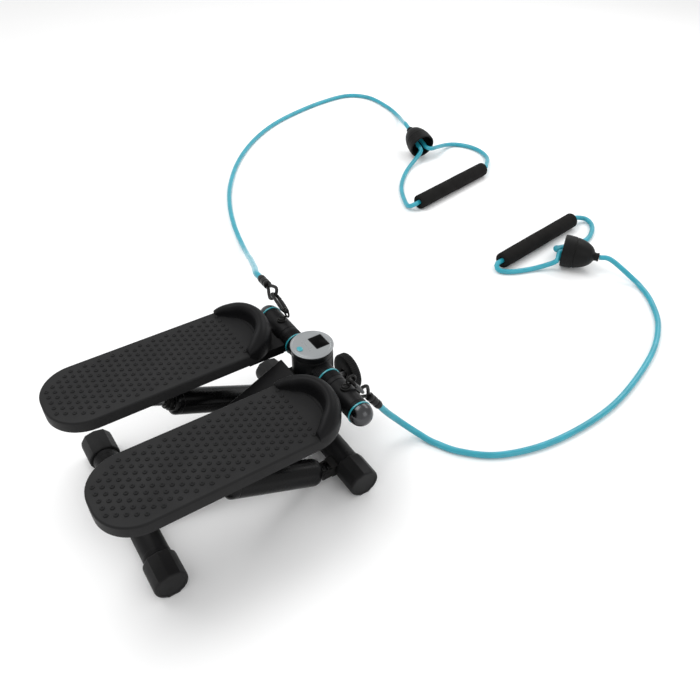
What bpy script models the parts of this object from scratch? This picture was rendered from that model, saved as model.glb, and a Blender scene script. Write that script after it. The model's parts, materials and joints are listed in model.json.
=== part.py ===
"""Mini stepper: two hinged pedals on oil dampers, a rocker that moves them in turn, a small
counter on the cross bar and two elastic pull bands with foam grips.

Metres, +Z up, floor at z = 0. +Y is the toe end and +X is the user's right.
"""

import math

import bmesh
import bpy
from mathutils import Matrix, Vector

# ---- driving dimensions -------------------------------------------------------------------
GAP = 0.0003                 # air between neighbouring pieces
TURNING_GAP = 0.0005         # air in a bore that turns
LEFT, RIGHT = -1, 1
SIDE_NAMES = {LEFT: "left", RIGHT: "right"}

BASE_HALF = 0.151            # base tubes, half their overall width with the end caps
BASE_CAP_LENGTH = 0.044
TUBE_R = 0.0195
CAP_R = 0.0236
BASE_Z = CAP_R               # the caps stand on the floor
FRONT_Y = 0.1414
REAR_Y = -0.161

BAR_Y = 0.1461               # cross bar: the pedals hinge on its axis
BAR_Z = 0.1511
BAR_R = 0.0175
AXLE_R = 0.010
RING_LIP = 0.0014
INNER_RING_X = 0.0470
SLEEVE_X = (0.0495, 0.0697)
COLLAR_X = (0.0700, 0.1246)
OUTER_RING_X = 0.1270
RING_WIDTH = 0.0044
DOME_X = 0.1305
EYEBOLT_X = 0.091

HUB_R = 0.0310               # counter housing, an upright drum round the bar
HUB_BOTTOM = 0.1308
HUB_TOP = 0.1812
FACE_R = 0.0322
FACE_TOP = 0.1834
HUB_Y = BAR_Y + 0.0014

POST_HALF_WIDTH = 0.028
POST_Y = (0.1100, 0.1700)
POST_TOP = 0.1303
BEAM_SLOPE = 0.479           # fall per metre towards the rear tube
BEAM_TOP_Z = 0.1533          # height of its upper face at the post
BEAM_DEPTH = 0.030

PEDAL_X = 0.098              # middle of each pedal
PEDAL_HALF_WIDTH = 0.0622
PEDAL_TOE_Y = 0.1216
PEDAL_LENGTH = 0.340
PEDAL_TOP = 0.1740
PEDAL_SKIRT = 0.0184
PEDAL_WALL = 0.004
PEDAL_SKIN = 0.005
HEEL_CORNER_R = 0.0544
TOE_DEPTH = 0.0576
TOE_CUP_HEIGHT = 0.025
TOE_CUP_WALL = 0.022
TOE_STEPS = 16

DAMPER_X = 0.0950
DAMPER_FRONT = Vector((0.0, 0.1023, 0.0225))
DAMPER_REAR = Vector((0.0, -0.1383, 0.1352))
DAMPER_R = 0.0207
DAMPER_START = 0.012
DAMPER_END = 0.166
ROD_R = 0.0055
PIN_R = 0.0040
ROD_EYE_BORE = 0.0060
ROD_EYE_SHIFT = Vector((0.0, -0.00025, -0.0008))   # lets the open eye follow the pin's arc

KNOB_Y = (0.2020, 0.2180)
KNOB_Z = 0.097
KNOB_R = 0.0310
SPINDLE_R = 0.0050
KEY_R = 0.0052

BAND_R = 0.0053
GRIP_R = 0.0172

ROCKER_Y = (0.1745, 0.1865)
ROCKER_TIP_X = 0.0595
ROCKER_TIP_TOP = 0.112
HORN_BOTTOM = ROCKER_TIP_TOP + 0.0015

HINGE = Vector((0.0, BAR_Y, BAR_Z))

BAND_FLOOR_Z = 0.0056
LINK_WIRE = 0.0021
HOOK_LENGTH = 0.050
HOOK_HALF_WIDTH = 0.0056
LOOP_LENGTH = 0.034
LOOP_HALF_WIDTH = 0.0098
FERRULE_R = 0.0068
FERRULE_LENGTH = 0.035
EYE_RING_R = 0.0072
EYE_WIRE = 0.0014
EYE_CENTRE_Y = BAR_Y + 0.0100
EYE_CENTRE_Z = BAR_Z + BAR_R + 0.0104

CONE_LENGTH = 0.074
CONE_MOUTH_R = 0.0333
CONE_COLLAR_R = 0.0096
CONE_CAVITY = 0.036

# Where each chain of hook, wire loop and ferrule runs: start of the hook, its direction, the
# hook's width direction, then the directions of the loop and of the ferrule.
CHAIN = {
    LEFT: (Vector((-EYEBOLT_X - 0.0026, EYE_CENTRE_Y, EYE_CENTRE_Z)), Vector((-0.991, 0.130, 0.010)),
           Vector((0.10, 0.80, -0.60)), Vector((-0.985, 0.160, -0.060)), Vector((-0.970, 0.120, -0.200))),
    RIGHT: (Vector((EYEBOLT_X, EYE_CENTRE_Y + 0.0005, EYE_CENTRE_Z - 0.0030)), Vector((-0.250, 0.500,
                                                                                       -0.820)),
            Vector((0.95, 0.16, -0.20)), Vector((-0.180, 0.560, -0.800)), Vector((0.080, 0.540, -0.830))),
}

# Each cone from its narrow end to its mouth: the left one leans on its rim, the right one lies.
LEFT_CONE = (Vector((-0.7481, 0.8949, 0.0535)), Vector((-0.6694, 0.8845, 0.0325)))
RIGHT_CONE = (Vector((-0.0648, 0.8741, 0.0338)), Vector((-0.1196, 0.8354, 0.0340)))

# Floor and air points between a chain's ferrule and its cone, as (x, y, z).
LEFT_BAND_ROUTE = (
    (-0.2871, 0.1987, 0.1350), (-0.3414, 0.2199, 0.1050), (-0.3987, 0.2421, 0.0750),
    (-0.4478, 0.2602, 0.0470), (-0.4950, 0.2772, 0.0240), (-0.5453, 0.2922, 0.0100),
    (-0.5953, 0.3052, BAND_FLOOR_Z), (-0.6437, 0.3188, BAND_FLOOR_Z),
    (-0.7163, 0.3449, BAND_FLOOR_Z), (-0.7951, 0.3824, BAND_FLOOR_Z), (-0.8771, 0.4353, BAND_FLOOR_Z),
    (-0.9416, 0.4881, BAND_FLOOR_Z), (-1.0010, 0.5499, BAND_FLOOR_Z), (-1.0478, 0.6133, BAND_FLOOR_Z),
    (-1.0826, 0.6771, BAND_FLOOR_Z), (-1.1099, 0.7517, BAND_FLOOR_Z), (-1.1336, 0.8509, BAND_FLOOR_Z),
    (-1.1355, 0.9451, BAND_FLOOR_Z), (-1.0875, 0.9951, BAND_FLOOR_Z), (-0.9976, 1.0014, BAND_FLOOR_Z),
    (-0.9223, 0.9863, 0.0080), (-0.8605, 0.9539, 0.0240), (-0.8072, 0.9221, 0.0430),
)
RIGHT_BAND_ROUTE = (
    (0.0838, 0.2480, 0.0400), (0.0925, 0.2640, 0.0215), (0.1075, 0.2765, 0.0105),
    (0.1307, 0.2880, BAND_FLOOR_Z), (0.1683, 0.3107, BAND_FLOOR_Z), (0.2072, 0.3576, BAND_FLOOR_Z),
    (0.2318, 0.4371, BAND_FLOOR_Z), (0.2359, 0.5368, BAND_FLOOR_Z), (0.2209, 0.6324, BAND_FLOOR_Z),
    (0.1785, 0.7524, BAND_FLOOR_Z), (0.1298, 0.8300, BAND_FLOOR_Z), (0.0779, 0.8754, BAND_FLOOR_Z),
    (0.0366, 0.8979, BAND_FLOOR_Z), (0.0079, 0.9011, 0.0120),
)

# Each grip's two end centres, and the strand's points from the cone's mouth to either end.
LEFT_GRIP = (Vector((-0.4748, 0.7197, GRIP_R)), Vector((-0.5210, 0.9581, GRIP_R)))
RIGHT_GRIP = (Vector((-0.1835, 0.7156, GRIP_R)), Vector((-0.2203, 0.9616, GRIP_R)))
LEFT_STRAND_NEAR = (
    (-0.6685, 0.8732, 0.0263), (-0.6619, 0.8524, 0.0144), (-0.6426, 0.8152, 0.0066),
    (-0.6114, 0.7772, BAND_FLOOR_Z), (-0.5733, 0.7422, BAND_FLOOR_Z), (-0.5296, 0.7161, BAND_FLOOR_Z),
    (-0.4870, 0.6985, 0.0085),
)
LEFT_STRAND_FAR = (
    (-0.5352, 0.9834, 0.0145), (-0.5717, 1.0201, 0.0080), (-0.6107, 1.0359, BAND_FLOOR_Z),
    (-0.6526, 1.0316, BAND_FLOOR_Z), (-0.6863, 1.0078, 0.0060), (-0.6894, 0.9749, 0.0115),
    (-0.6720, 0.9307, 0.0240), (-0.6613, 0.9015, 0.0313),
)
RIGHT_STRAND_NEAR = (
    (-0.1134, 0.8045, 0.0245), (-0.1246, 0.7928, 0.0125), (-0.1372, 0.7634, 0.0060),
    (-0.1489, 0.7292, BAND_FLOOR_Z), (-0.1609, 0.7083, BAND_FLOOR_Z), (-0.1731, 0.6988, 0.0072),
    (-0.1807, 0.6999, 0.0125),
)
RIGHT_STRAND_FAR = (
    (-0.2224, 0.9836, 0.0150), (-0.2153, 1.0040, 0.0085), (-0.1975, 1.0030, BAND_FLOOR_Z),
    (-0.1749, 0.9823, BAND_FLOOR_Z), (-0.1569, 0.9500, BAND_FLOOR_Z), (-0.1543, 0.9188, BAND_FLOOR_Z),
    (-0.1605, 0.8700, 0.0085), (-0.1530, 0.8430, 0.0205), (-0.1372, 0.8276, 0.0292),
)


MATERIALS = {}


# ---- small tools --------------------------------------------------------------------------
def material(name, colour, roughness, metallic=0.0):
    made = bpy.data.materials.new(name)
    made.use_nodes = True
    shader = made.node_tree.nodes["Principled BSDF"]
    shader.inputs["Base Color"].default_value = (*colour, 1.0)
    shader.inputs["Roughness"].default_value = roughness
    shader.inputs["Metallic"].default_value = metallic
    made.diffuse_color = (*colour, 1.0)
    MATERIALS[name] = made


def make_materials():
    material("frame_paint", (0.030, 0.031, 0.033), 0.45)
    material("pedal_plastic", (0.032, 0.033, 0.035), 0.55)
    material("toe_rubber", (0.026, 0.026, 0.028), 0.60)
    material("cap_plastic", (0.034, 0.035, 0.037), 0.60)
    material("housing_plastic", (0.028, 0.030, 0.034), 0.35)
    material("teal_trim", (0.030, 0.420, 0.500), 0.35)
    material("console_silver", (0.62, 0.64, 0.65), 0.30, 0.6)
    material("screen_black", (0.012, 0.014, 0.016), 0.10)
    material("dome_metal", (0.42, 0.43, 0.45), 0.28, 0.8)
    material("steel", (0.50, 0.50, 0.51), 0.30, 1.0)
    material("hardware_black", (0.050, 0.048, 0.046), 0.40, 0.6)
    material("damper_black", (0.030, 0.030, 0.032), 0.35, 0.3)
    material("band_elastic", (0.035, 0.480, 0.600), 0.45)
    material("stopper_rubber", (0.028, 0.028, 0.028), 0.55)
    material("grip_foam", (0.036, 0.032, 0.030), 0.85)


def finish_object(name, bm, slot, origin=Vector((0.0, 0.0, 0.0)), smooth=True):
    """Turns world-space bmesh geometry into an object whose origin is at the given point."""
    bmesh.ops.recalc_face_normals(bm, faces=bm.faces)
    bmesh.ops.translate(bm, verts=bm.verts, vec=-Vector(origin))
    mesh = bpy.data.meshes.new(name)
    bm.to_mesh(mesh)
    bm.free()
    if smooth:
        mesh.shade_smooth()
        mesh.set_sharp_from_angle(angle=math.radians(35))
    made = bpy.data.objects.new(name, mesh)
    made.location = origin
    made.data.materials.append(MATERIALS[slot])
    bpy.context.scene.collection.objects.link(made)
    return made


def boolean(target, tool, operation="DIFFERENCE"):
    modifier = target.modifiers.new(operation.lower(), "BOOLEAN")
    modifier.operation = operation
    modifier.solver = "EXACT"
    modifier.object = tool
    tool.hide_render = True
    tool.display_type = "WIRE"


def frame_of(axis):
    """Two unit vectors across an axis."""
    axis = Vector(axis).normalized()
    helper = Vector((0.0, 0.0, 1.0)) if abs(axis.z) < 0.9 else Vector((1.0, 0.0, 0.0))
    first = axis.cross(helper).normalized()
    return axis, first, axis.cross(first)


def add_lathe(bm, profile, start, axis, steps=16):
    """Turns (radius, distance along the axis) points; radius 0 closes an end on the axis."""
    axis, first, second = frame_of(axis)
    rings = []
    for radius, along in profile:
        centre = Vector(start) + axis * along
        if radius == 0.0:
            rings.append([bm.verts.new(centre)])
            continue
        angles = (2 * math.pi * i / steps for i in range(steps))
        rings.append([bm.verts.new(centre + first * (radius * math.cos(a))
                                   + second * (radius * math.sin(a)))
                      for a in angles])
    pairs = list(zip(rings, rings[1:]))
    if profile[0][0] != 0.0:
        pairs.append((rings[-1], rings[0]))
    for lower, upper in pairs:
        for i in range(steps):
            j = (i + 1) % steps
            corners = [lower[i % len(lower)], lower[j % len(lower)], upper[j % len(upper)],
                       upper[i % len(upper)]]
            unique = list(dict.fromkeys(corners))
            if len(unique) > 2:
                bm.faces.new(unique)


def lathe(name, profile, start, axis, slot, steps=16, origin=(0.0, 0.0, 0.0)):
    bm = bmesh.new()
    add_lathe(bm, profile, start, axis, steps)
    return finish_object(name, bm, slot, Vector(origin))


def tube_profile(outer, inner, length):
    return [(inner, 0.0), (outer, 0.0), (outer, length), (inner, length)]


def rod_profile(radius, length, round_off=0.0008):
    return [(0.0, 0.0), (radius - round_off, 0.0), (radius, round_off),
            (radius, length - round_off), (radius - round_off, length), (0.0, length)]


def add_box(bm, low, high):
    low, high = Vector(low), Vector(high)
    size = high - low
    matrix = Matrix.Translation((low + high) / 2) @ Matrix.Diagonal((*size, 1.0))
    return bmesh.ops.create_cube(bm, size=1.0, matrix=matrix)["verts"]


def box(name, low, high, slot, origin=(0.0, 0.0, 0.0), bevel=0.0):
    bm = bmesh.new()
    add_box(bm, low, high)
    if bevel:
        bmesh.ops.bevel(bm, geom=bm.edges[:], offset=bevel, segments=2, affect="EDGES", profile=0.5)
    return finish_object(name, bm, slot, Vector(origin))


def prism(name, outline, across, slot, origin=(0.0, 0.0, 0.0), bevel=0.0):
    """Extrudes a (y, z) outline along X between the two values of across."""
    bm = bmesh.new()
    near = [bm.verts.new((across[0], y, z)) for y, z in outline]
    far = [bm.verts.new((across[1], y, z)) for y, z in outline]
    bm.faces.new(near)
    bm.faces.new(far[::-1])
    for i in range(len(outline)):
        j = (i + 1) % len(outline)
        bm.faces.new((near[i], near[j], far[j], far[i]))
    if bevel:
        bmesh.ops.bevel(bm, geom=bm.edges[:], offset=bevel, segments=1, affect="EDGES")
    return finish_object(name, bm, slot, Vector(origin), smooth=False)


def cutter(name, profile, start, axis, steps=16):
    return lathe(name, profile, start, axis, "frame_paint", steps)


def mirrored(span, side):
    low, high = sorted((span[0] * side, span[1] * side))
    return low, high


# ---- base frame ---------------------------------------------------------------------------
def base_tube(name, y):
    half = BASE_HALF - BASE_CAP_LENGTH
    lathe(name, rod_profile(TUBE_R, 2 * half - 2 * GAP), (-half + GAP, y, BASE_Z), (1, 0, 0), "frame_paint",
          20)


def cap_outline(radius):
    """Foot cap section: a narrow flat sole, round sides, two facets meeting in a low ridge on top."""
    side = []
    steps = 5
    for i in range(steps + 1):
        angle = math.radians(-68 + 88 * i / steps)
        side.append((radius * math.cos(angle), radius * math.sin(angle)))
    side[0] = (radius * 0.34, -radius)
    side.append((radius * 0.62, radius * 0.78))
    mirrored_side = [(-y, z) for y, z in reversed(side)]
    return side + [(0.0, radius * 0.92)] + mirrored_side


def foot_cap(name, side, y):
    """A moulded cap pushed on the tube's end, standing on the floor."""
    inner = BASE_HALF - BASE_CAP_LENGTH
    stations = [(inner, 0.94), (inner + 0.002, 1.0), (BASE_HALF - 0.003, 1.0), (BASE_HALF, 0.90)]
    bm = bmesh.new()
    rings = []
    for x, scale in stations:
        ring = []
        for dy, dz in cap_outline(CAP_R):
            ring.append(bm.verts.new((side * x, y + dy * scale, BASE_Z + dz * scale)))
        rings.append(ring)
    for lower, upper in zip(rings, rings[1:]):
        for i in range(len(lower)):
            j = (i + 1) % len(lower)
            bm.faces.new((lower[i], lower[j], upper[j], upper[i]))
    bm.faces.new(rings[0])
    bm.faces.new(rings[-1])
    finish_object(name, bm, "cap_plastic")


def front_post():
    post = prism("front_post", [(POST_Y[0], BASE_Z + 0.012), (POST_Y[1], BASE_Z + 0.012),
                                (POST_Y[1], POST_TOP), (POST_Y[0], POST_TOP)],
                 (-POST_HALF_WIDTH, POST_HALF_WIDTH), "frame_paint", bevel=0.002)
    boolean(post, cutter("post_saddle_cutter", rod_profile(TUBE_R + GAP, 0.2), (-0.1, FRONT_Y, BASE_Z),
                         (1, 0, 0), 20))


def central_beam():
    top_y = POST_Y[0] - GAP
    foot_y = REAR_Y + 0.002
    fall = (top_y - foot_y) * BEAM_SLOPE
    outline = [(top_y, BEAM_TOP_Z), (foot_y, BEAM_TOP_Z - fall), (foot_y, BEAM_TOP_Z - fall
                                                                  - BEAM_DEPTH * 0.4),
               (foot_y + 0.020, BEAM_TOP_Z - fall - BEAM_DEPTH * 0.4),
               (top_y, BEAM_TOP_Z - BEAM_DEPTH * 1.25)]
    beam = prism("central_beam", outline, (-POST_HALF_WIDTH, POST_HALF_WIDTH), "frame_paint", bevel=0.0015)
    boolean(beam, cutter("beam_saddle_cutter", rod_profile(TUBE_R + GAP, 0.2), (-0.1, REAR_Y, BASE_Z),
                         (1, 0, 0), 20))


# ---- cross bar and counter ----------------------------------------------------------------
def hub_housing():
    """Upright drum with a socket to each side for the bar."""
    drum = lathe("hub_housing", [(0.0, 0.0), (HUB_R - 0.003, 0.0), (HUB_R, 0.004), (HUB_R, HUB_TOP
                                                                                    - HUB_BOTTOM),
                                 (0.0, HUB_TOP - HUB_BOTTOM)],
                 (0.0, HUB_Y, HUB_BOTTOM), (0, 0, 1), "housing_plastic", 24)
    reach = INNER_RING_X - RING_WIDTH / 2 - GAP
    boolean(drum, cutter("hub_socket_tool", rod_profile(BAR_R, 2 * reach), (-reach, BAR_Y, BAR_Z), (1, 0,
                                                                                                    0), 20),
            "UNION")
    boolean(drum, cutter("hub_bore_cutter", rod_profile(AXLE_R + GAP, 0.2), (-0.1, BAR_Y, BAR_Z), (1, 0,
                                                                                                   0)))


def cross_axle():
    half = DOME_X - 0.004
    lathe("cross_axle", rod_profile(AXLE_R, 2 * half), (-half, BAR_Y, BAR_Z), (1, 0, 0), "steel")


def bar_piece(name, span, side, outer, slot):
    low, high = mirrored(span, side)
    lathe(name, tube_profile(outer, AXLE_R + GAP, high - low), (low, BAR_Y, BAR_Z), (1, 0, 0), slot, 20)


def trim_rings(side):
    half = RING_WIDTH / 2
    prefix = SIDE_NAMES[side]
    bar_piece(prefix + "_inner_ring", (INNER_RING_X - half, INNER_RING_X + half), side, BAR_R + RING_LIP,
              "teal_trim")
    bar_piece(prefix + "_outer_ring", (OUTER_RING_X - half + GAP, OUTER_RING_X + half), side,
              BAR_R + RING_LIP, "teal_trim")


def end_dome(side):
    """A hollow ball end pushed over the axle's end."""
    profile = [(AXLE_R + GAP, 0.0)]
    start = OUTER_RING_X + RING_WIDTH / 2 + GAP
    steps = 6
    first = math.acos((start - DOME_X) / BAR_R)
    for i in range(steps):
        angle = first * (1 - i / steps)
        profile.append((BAR_R * math.sin(angle), DOME_X - start + BAR_R * math.cos(angle)))
    profile.append((0.0, DOME_X - start + BAR_R))
    bore_end = DOME_X - 0.004 + 2 * GAP - start
    if bore_end > 0:
        bore = [(0.0, bore_end), (AXLE_R + GAP, bore_end)]
    else:
        bore = [(0.0, 0.0)]
        profile = profile[1:]
    lathe(SIDE_NAMES[side] + "_end_dome", bore + profile, (side * start, BAR_Y, BAR_Z), (side, 0, 0),
          "dome_metal", 20)


def eyebolt(side):
    """Boss on top of the collar with a swivelling wire eye at its front."""
    name = SIDE_NAMES[side] + "_eyebolt"
    top = BAR_Z + BAR_R
    boss = [(0.0, 0.0), (0.0072, 0.0), (0.0074, 0.0044), (0.0060, 0.0064), (0.0, 0.0068)]
    bolt = lathe(name, boss, (side * EYEBOLT_X, BAR_Y, top - 0.0016), (0, 0, 1), "hardware_black", 16)
    flat = (1, 0, 0) if side == LEFT else (0, 1, 0)
    ring = wire_ring(name + "_ring_tool", Vector((side * EYEBOLT_X, EYE_CENTRE_Y, EYE_CENTRE_Z)),
                     EYE_RING_R,
                     EYE_WIRE, flat, (0, 0, 1))
    if side == LEFT:
        lug = lathe(name + "_lug_tool", rod_profile(0.0016, EYE_CENTRE_Y + 0.0014 - BAR_Y, 0.0003),
                    (side * EYEBOLT_X, BAR_Y, EYE_CENTRE_Z - EYE_RING_R + 0.0004), (0, 1, 0),
                    "hardware_black", 10)
        boolean(bolt, lug, "UNION")
    boolean(bolt, ring, "UNION")
    boolean(bolt, cutter(name + "_saddle_cutter", rod_profile(BAR_R + GAP, 0.06),
                         (side * EYEBOLT_X - 0.03, BAR_Y, BAR_Z), (1, 0, 0), 20))


def wire_ring(name, centre, radius, wire, first, second, steps=14, sides=6):
    """A closed wire ring in the plane of the two directions."""
    first, second = Vector(first).normalized(), Vector(second).normalized()
    points = []
    for i in range(steps):
        angle = 2 * math.pi * i / steps
        points.append(centre + first * (radius * math.cos(angle)) + second * (radius * math.sin(angle)))
    bm = bmesh.new()
    add_loop_tube(bm, points, wire, first.cross(second), sides)
    return finish_object(name, bm, "hardware_black")


def add_loop_tube(bm, points, radius, normal, sides=8):
    rings = []
    count = len(points)
    for i, point in enumerate(points):
        tangent = (points[(i + 1) % count] - points[i - 1]).normalized()
        outward = tangent.cross(normal).normalized()
        ring = []
        for k in range(sides):
            angle = 2 * math.pi * k / sides
            ring.append(bm.verts.new(point + outward * (radius * math.cos(angle))
                                     + normal * (radius * math.sin(angle))))
        rings.append(ring)
    for i in range(count):
        lower, upper = rings[i], rings[(i + 1) % count]
        for k in range(sides):
            m = (k + 1) % sides
            bm.faces.new((lower[k], lower[m], upper[m], upper[k]))


def console():
    bm = bmesh.new()
    add_lathe(bm, [(0.0, 0.0), (FACE_R - 0.001, 0.0), (FACE_R, 0.0007), (FACE_R - 0.0004, 0.0014),
                   (FACE_R - 0.0016, FACE_TOP - HUB_TOP - GAP), (0.0, FACE_TOP - HUB_TOP - GAP)],
              (0.0, HUB_Y, HUB_TOP + GAP), (0, 0, 1), 32)
    face = finish_object("console_face", bm, "console_silver")
    screen_low, screen_high = (-0.0125, HUB_Y + 0.0015), (0.0125, HUB_Y + 0.0215)
    pocket = box("screen_pocket_cutter", (screen_low[0] - GAP, screen_low[1] - GAP, FACE_TOP - 0.0012),
                 (screen_high[0] + GAP, screen_high[1] + GAP, FACE_TOP + 0.01), "screen_black")
    boolean(face, pocket)
    boolean(face, cutter("button_bore_cutter", rod_profile(KEY_R + GAP, 0.02), (0.0, HUB_Y - 0.0205,
                                                                                HUB_TOP - 0.005),
                         (0, 0, 1), 20))
    box("lcd_screen", (*screen_low, FACE_TOP - 0.0009), (*screen_high, FACE_TOP + 0.0002), "screen_black",
        bevel=0.0003)
    lathe("mode_button", [(0.0, 0.0), (KEY_R, 0.0), (KEY_R, 0.0016), (KEY_R - 0.0006, 0.0022), (0.0,
                                                                                                0.0024)],
          (0.0, HUB_Y - 0.0205, HUB_TOP + GAP + 0.0010), (0, 0, 1), "teal_trim", 20,
          origin=(0.0, HUB_Y - 0.0205, HUB_TOP + GAP + 0.0010))


# ---- adjuster and rocker ------------------------------------------------------------------
def adjuster():
    start = POST_Y[1] + GAP
    lathe("adjuster_spindle", [(0.0, 0.0), (0.0090, 0.0), (0.0090, 0.0030), (SPINDLE_R, 0.0030),
                               (SPINDLE_R, KNOB_Y[0] + 0.009 - start), (0.0, KNOB_Y[0] + 0.009 - start)],
          (0.0, start, KNOB_Z), (0, 1, 0), "steel", 20)
    depth = KNOB_Y[1] - KNOB_Y[0]
    bm = bmesh.new()
    ribs = 24
    steps = ribs * 2
    bore = SPINDLE_R + GAP
    stations = [(0.0, depth - 0.005, 0.0), (bore, depth - 0.005, 0.0), (bore, 0.0, 0.0), (0.024, 0.0, 0.0),
                (KNOB_R - 0.002, 0.0008, 0.0), (KNOB_R, 0.0025, 1.0), (KNOB_R, depth - 0.004, 1.0),
                (KNOB_R - 0.004, depth, 0.0), (0.0, depth, 0.0)]
    rings = []
    for radius, along, ribbed in stations:
        if radius == 0.0:
            rings.append([bm.verts.new((0.0, KNOB_Y[0] + along, KNOB_Z))])
            continue
        ring = []
        for i in range(steps):
            angle = 2 * math.pi * i / steps
            r = radius - (0.0011 if ribbed and i % 2 else 0.0)
            ring.append(bm.verts.new((r * math.cos(angle), KNOB_Y[0] + along, KNOB_Z
                                      + r * math.sin(angle))))
        rings.append(ring)
    for lower, upper in zip(rings, rings[1:]):
        for i in range(steps):
            j = (i + 1) % steps
            corners = [lower[i % len(lower)], lower[j % len(lower)], upper[j % len(upper)],
                       upper[i % len(upper)]]
            bm.faces.new(list(dict.fromkeys(corners)))
    finish_object("adjuster_knob", bm, "stopper_rubber", Vector((0.0, KNOB_Y[0], KNOB_Z)))


def rocker():
    """See-saw bar on the spindle: it lifts one pedal as the other goes down."""
    bm = bmesh.new()
    outline = []
    half = ROCKER_TIP_X + 0.009
    for x, z in ((-half, 0.004), (-half, 0.0150), (-half + 0.018, 0.0150), (-half + 0.022, 0.0105), (-0.012,
                                                                                                     0.0120),
                 (0.012, 0.0120), (half - 0.022, 0.0105), (half - 0.018, 0.0150), (half, 0.0150), (half,
                                                                                                   0.004),
                 (half - 0.004, 0.0), (0.012, -0.0120), (-0.012, -0.0120), (-half + 0.004, 0.0)):
        outline.append((x, z + KNOB_Z))
    near = [bm.verts.new((x, ROCKER_Y[0], z)) for x, z in outline]
    far = [bm.verts.new((x, ROCKER_Y[1], z)) for x, z in outline]
    bm.faces.new(near)
    bm.faces.new(far[::-1])
    for i in range(len(outline)):
        j = (i + 1) % len(outline)
        bm.faces.new((near[i], near[j], far[j], far[i]))
    lever = finish_object("rocker_lever", bm, "hardware_black", Vector((0.0, ROCKER_Y[0], KNOB_Z)),
                          smooth=False)
    boolean(lever, cutter("rocker_bore_cutter", rod_profile(SPINDLE_R + GAP, 0.1), (0.0, ROCKER_Y[0] - 0.02,
                                                                                    KNOB_Z),
                          (0, 1, 0), 20))
    lathe("sensor_magnet", rod_profile(0.0030, 0.0020, 0.0003), (0.0280, ROCKER_Y[0] - GAP - 0.0020,
                                                                 KNOB_Z + 0.002),
          (0, 1, 0), "steel", 16)
    box("step_sensor", (0.0140, POST_Y[1] + GAP, KNOB_Z + 0.0160), (0.0270, POST_Y[1] + 0.0075, KNOB_Z
                                                                    + 0.0260),
        "housing_plastic", bevel=0.001)


# ---- pedals -------------------------------------------------------------------------------
def pedal_outline(side, inset=0.0):
    """Plan of the tread from the inner heel corner round to the toe, as (x, y) points."""
    half = PEDAL_HALF_WIDTH - inset
    heel_y = PEDAL_TOE_Y - PEDAL_LENGTH + inset
    corner = HEEL_CORNER_R - inset
    centre_x = side * PEDAL_X
    points = []
    steps = 5
    for i in range(steps + 1):
        angle = math.radians(180 + 90 * i / steps)
        points.append((centre_x - half + corner + corner * math.cos(angle), heel_y + corner
                       + corner * math.sin(angle)))
    for i in range(steps + 1):
        angle = math.radians(270 + 90 * i / steps)
        points.append((centre_x + half - corner + corner * math.cos(angle), heel_y + corner
                       + corner * math.sin(angle)))
    for i in range(TOE_STEPS + 1):
        angle = math.pi * i / TOE_STEPS
        points.append((centre_x + half * math.cos(angle),
                       PEDAL_TOE_Y - TOE_DEPTH + (TOE_DEPTH - inset) * math.sin(angle)))
    return points


def pedal_tread(side):
    """Moulded tread: a skin with a skirt all round, open underneath."""
    bottom = PEDAL_TOP - PEDAL_SKIRT
    levels = [(PEDAL_WALL, PEDAL_TOP - PEDAL_SKIN), (PEDAL_WALL, bottom), (0.0, bottom), (0.0, PEDAL_TOP
                                                                                          - 0.0025),
              (0.0008, PEDAL_TOP - 0.0008), (0.0025, PEDAL_TOP)]
    bm = bmesh.new()
    rings = []
    for inset, z in levels:
        rings.append([bm.verts.new((x, y, z)) for x, y in pedal_outline(side, inset)])
    for lower, upper in zip(rings, rings[1:]):
        for i in range(len(lower)):
            j = (i + 1) % len(lower)
            bm.faces.new((lower[i], lower[j], upper[j], upper[i]))
    bm.faces.new(rings[0])
    bm.faces.new(rings[-1])
    finish_object(SIDE_NAMES[side] + "_pedal_tread", bm, "pedal_plastic", HINGE)


def toe_cup(side):
    """Raised rubber wall round the toe, low at its two ends and highest at the tip."""
    bm = bmesh.new()
    rings = []
    base = PEDAL_TOP + GAP
    steps = 18
    for i in range(steps + 1):
        angle = math.pi * (0.03 + 0.94 * i / steps)
        rise = TOE_CUP_HEIGHT * math.sin(angle) ** 0.65
        out = Vector((math.cos(angle), math.sin(angle) * 0.95, 0.0)).normalized()
        on_edge = Vector((side * PEDAL_X + PEDAL_HALF_WIDTH * math.cos(angle),
                          PEDAL_TOE_Y - TOE_DEPTH + TOE_DEPTH * math.sin(angle), base))
        section = [(0.0026, 0.0), (0.0, 0.22), (0.0012, 0.58), (0.0052, 0.86), (0.0105, 1.0), (0.0155,
                                                                                               0.96),
                   (0.0190, 0.74), (TOE_CUP_WALL, 0.0)]
        rings.append([bm.verts.new(on_edge - out * inward + Vector((0.0, 0.0, rise * level)))
                      for inward, level in section])
    for lower, upper in zip(rings, rings[1:]):
        for k in range(len(lower)):
            m = (k + 1) % len(lower)
            bm.faces.new((lower[k], lower[m], upper[m], upper[k]))
    bm.faces.new(rings[0])
    bm.faces.new(rings[-1])
    finish_object(SIDE_NAMES[side] + "_toe_cup", bm, "toe_rubber", HINGE)


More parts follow.
